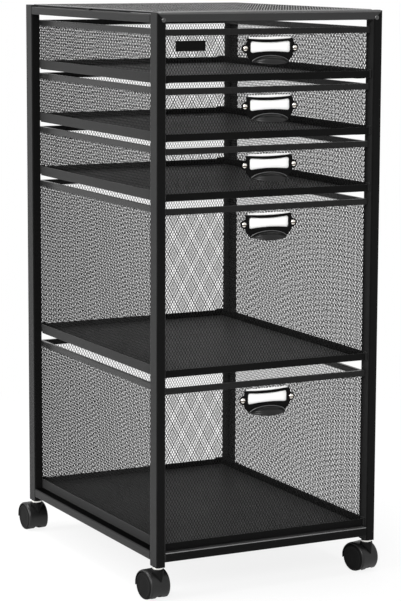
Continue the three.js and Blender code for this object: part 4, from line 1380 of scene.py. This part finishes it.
def neck_mesh(turns=48, rises=12):
    """A round neck that runs out into a point on the hood's front, so that the seam draws a V."""
    levels = []  # (share of the neck's radius, shift of the ring's middle, height)
    for i in range(rises + 1):
        share = i / rises
        height = NECK_POINT.z + share * (NECK_SHOULDER - NECK_POINT.z)
        levels.append((share, (1 - share) * NECK_POINT.y, height))
    levels += [(share, 0, NECK_TOP - below * MM) for share, below in NECK_CROWN]
    work = bmesh.new()
    rings = []
    for share, shift, level in levels:
        ring = []
        for k in range(turns):
            angle = 2 * math.pi * k / turns
            x, y = share * NECK_RADIUS * math.cos(angle), share * NECK_RADIUS * math.sin(angle)
            ring.append(work.verts.new((x, y + shift, level)))
        rings.append(ring)
    for lower, upper in zip(rings, rings[1:]):
        for k in range(turns):
            j = (k + 1) % turns
            work.faces.new((lower[k], lower[j], upper[j], upper[k]))
    return made_mesh("neck", work, TURN_WELD)


def collar_mesh():
    foot = [(COLLAR_RADIUS + out * MM, NECK_TOP + above * MM) for out, above in COLLAR_FOOT]
    crown = [(COLLAR_RADIUS + out * MM, COLLAR_TOP - below * MM) for out, below in COLLAR_CROWN]
    stem = [
        (STEM_RADIUS, COLLAR_TOP), (STEM_RADIUS, STEM_TOP - STEM_CHAMFER),
        (STEM_RADIUS - STEM_CHAMFER, STEM_TOP), (0, STEM_TOP),
    ]
    return turned("collar", [(0, foot[0][1])] + foot + crown + stem, COLLAR_SIDES, "Z")


print("collar under the post at", round(COLLAR_TOP / MM, 1), "mm")

# %% Wheels
WHEEL_WIDTH = 11.5 * MM
WHEEL_INNER_FACE = 2.5 * MM
WHEEL_INNER_EDGE = 5 * MM
WHEEL_SIDES = 56
WHEEL_BORE = ((0, 8.5), (2.3, 8.5), (2.3, 0.2), (2.6, 0))  # radius and depth of the bore, in mm
WHEEL_FACE = (  # radius and depth below the outer face, in mm
    (17.5, 2.6), (17.1, 1.3), (16.3, 0.5), (15.2, 0.1), (14.2, 0),
    (13.6, 0.1), (13.0, 0.4), (12.2, 0.5), (6.0, 0.3), (0, 0.2),
)


def wheel_mesh(side):
    r, e = WHEEL_RADIUS, WHEEL_INNER_EDGE
    bore = [(radius * MM, depth * MM) for radius, depth in WHEEL_BORE]
    inner_edge = [(r - e + e * math.sin(t), e - e * math.cos(t)) for t in quarter_turn(DOME_STEPS)]
    face = [(radius * MM, WHEEL_WIDTH - depth * MM) for radius, depth in WHEEL_FACE]
    profile = [(radius, side * (along + WHEEL_INNER_FACE)) for radius, along in bore + inner_edge + face]
    return turned("wheel", profile, WHEEL_SIDES, "X")


print("wheels of", round(2 * WHEEL_RADIUS / MM), "mm")

# %% Set the four casters under the posts
CORNERS = ("front_left", "front_right", "rear_left", "rear_right")

for corner in CORNERS:
    body = f"caster_{corner}"
    stem = Vector(JOINTS[f"{body}_swivel"]["pos_m"])
    axle = JOINTS[f"{body}_wheel_left_spin"]["axis"]
    place = Matrix.Translation((stem.x, stem.y, 0)) @ Matrix.Rotation(math.atan2(axle[1], axle[0]), 4, "Z")
    hood = joined(f"moulded_{body}_hood", [hood_shell(), web_plate()], place)
    piece(hood.name, hood, "caster_plastic", body, [f"{body}_hood"])
    neck = joined(f"moulded_{body}_neck", [neck_mesh()], place)
    # The neck takes the wheels' darker finish, as painted shade against the hood.
    piece(neck.name, neck, "caster_tread", body, [f"{body}_hood"])
    collar = joined(f"{body}_collar", [collar_mesh()], place)
    piece(collar.name, collar, "bright_zinc", body)
    for name, side in (("left", -1), ("right", 1)):
        node = f"{body}_wheel_{name}"
        wheel = joined(f"turned_{node}", [wheel_mesh(side)], place @ Matrix.Translation(AXLE_AT))
        piece(wheel.name, wheel, "caster_tread", node, [node])
    axle_node = nodes[f"{body}_axle"]
    axle_node.data.materials.clear()
    axle_node.data.materials.append(finishes["axle_steel"])
print(len(CORNERS), "casters")

# %% [markdown]
# ## Closing
# The box round the dressed cart is measured and its triangles are counted.

# %% Sizes and finish
for shape in (cell, top_cell, rivet):
    bpy.data.objects.remove(shape)
low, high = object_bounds()
triangles = sum(len(p.vertices) - 2 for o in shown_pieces() if o.type == "MESH" for p in o.data.polygons)
print("visual model", triangles, "triangles")
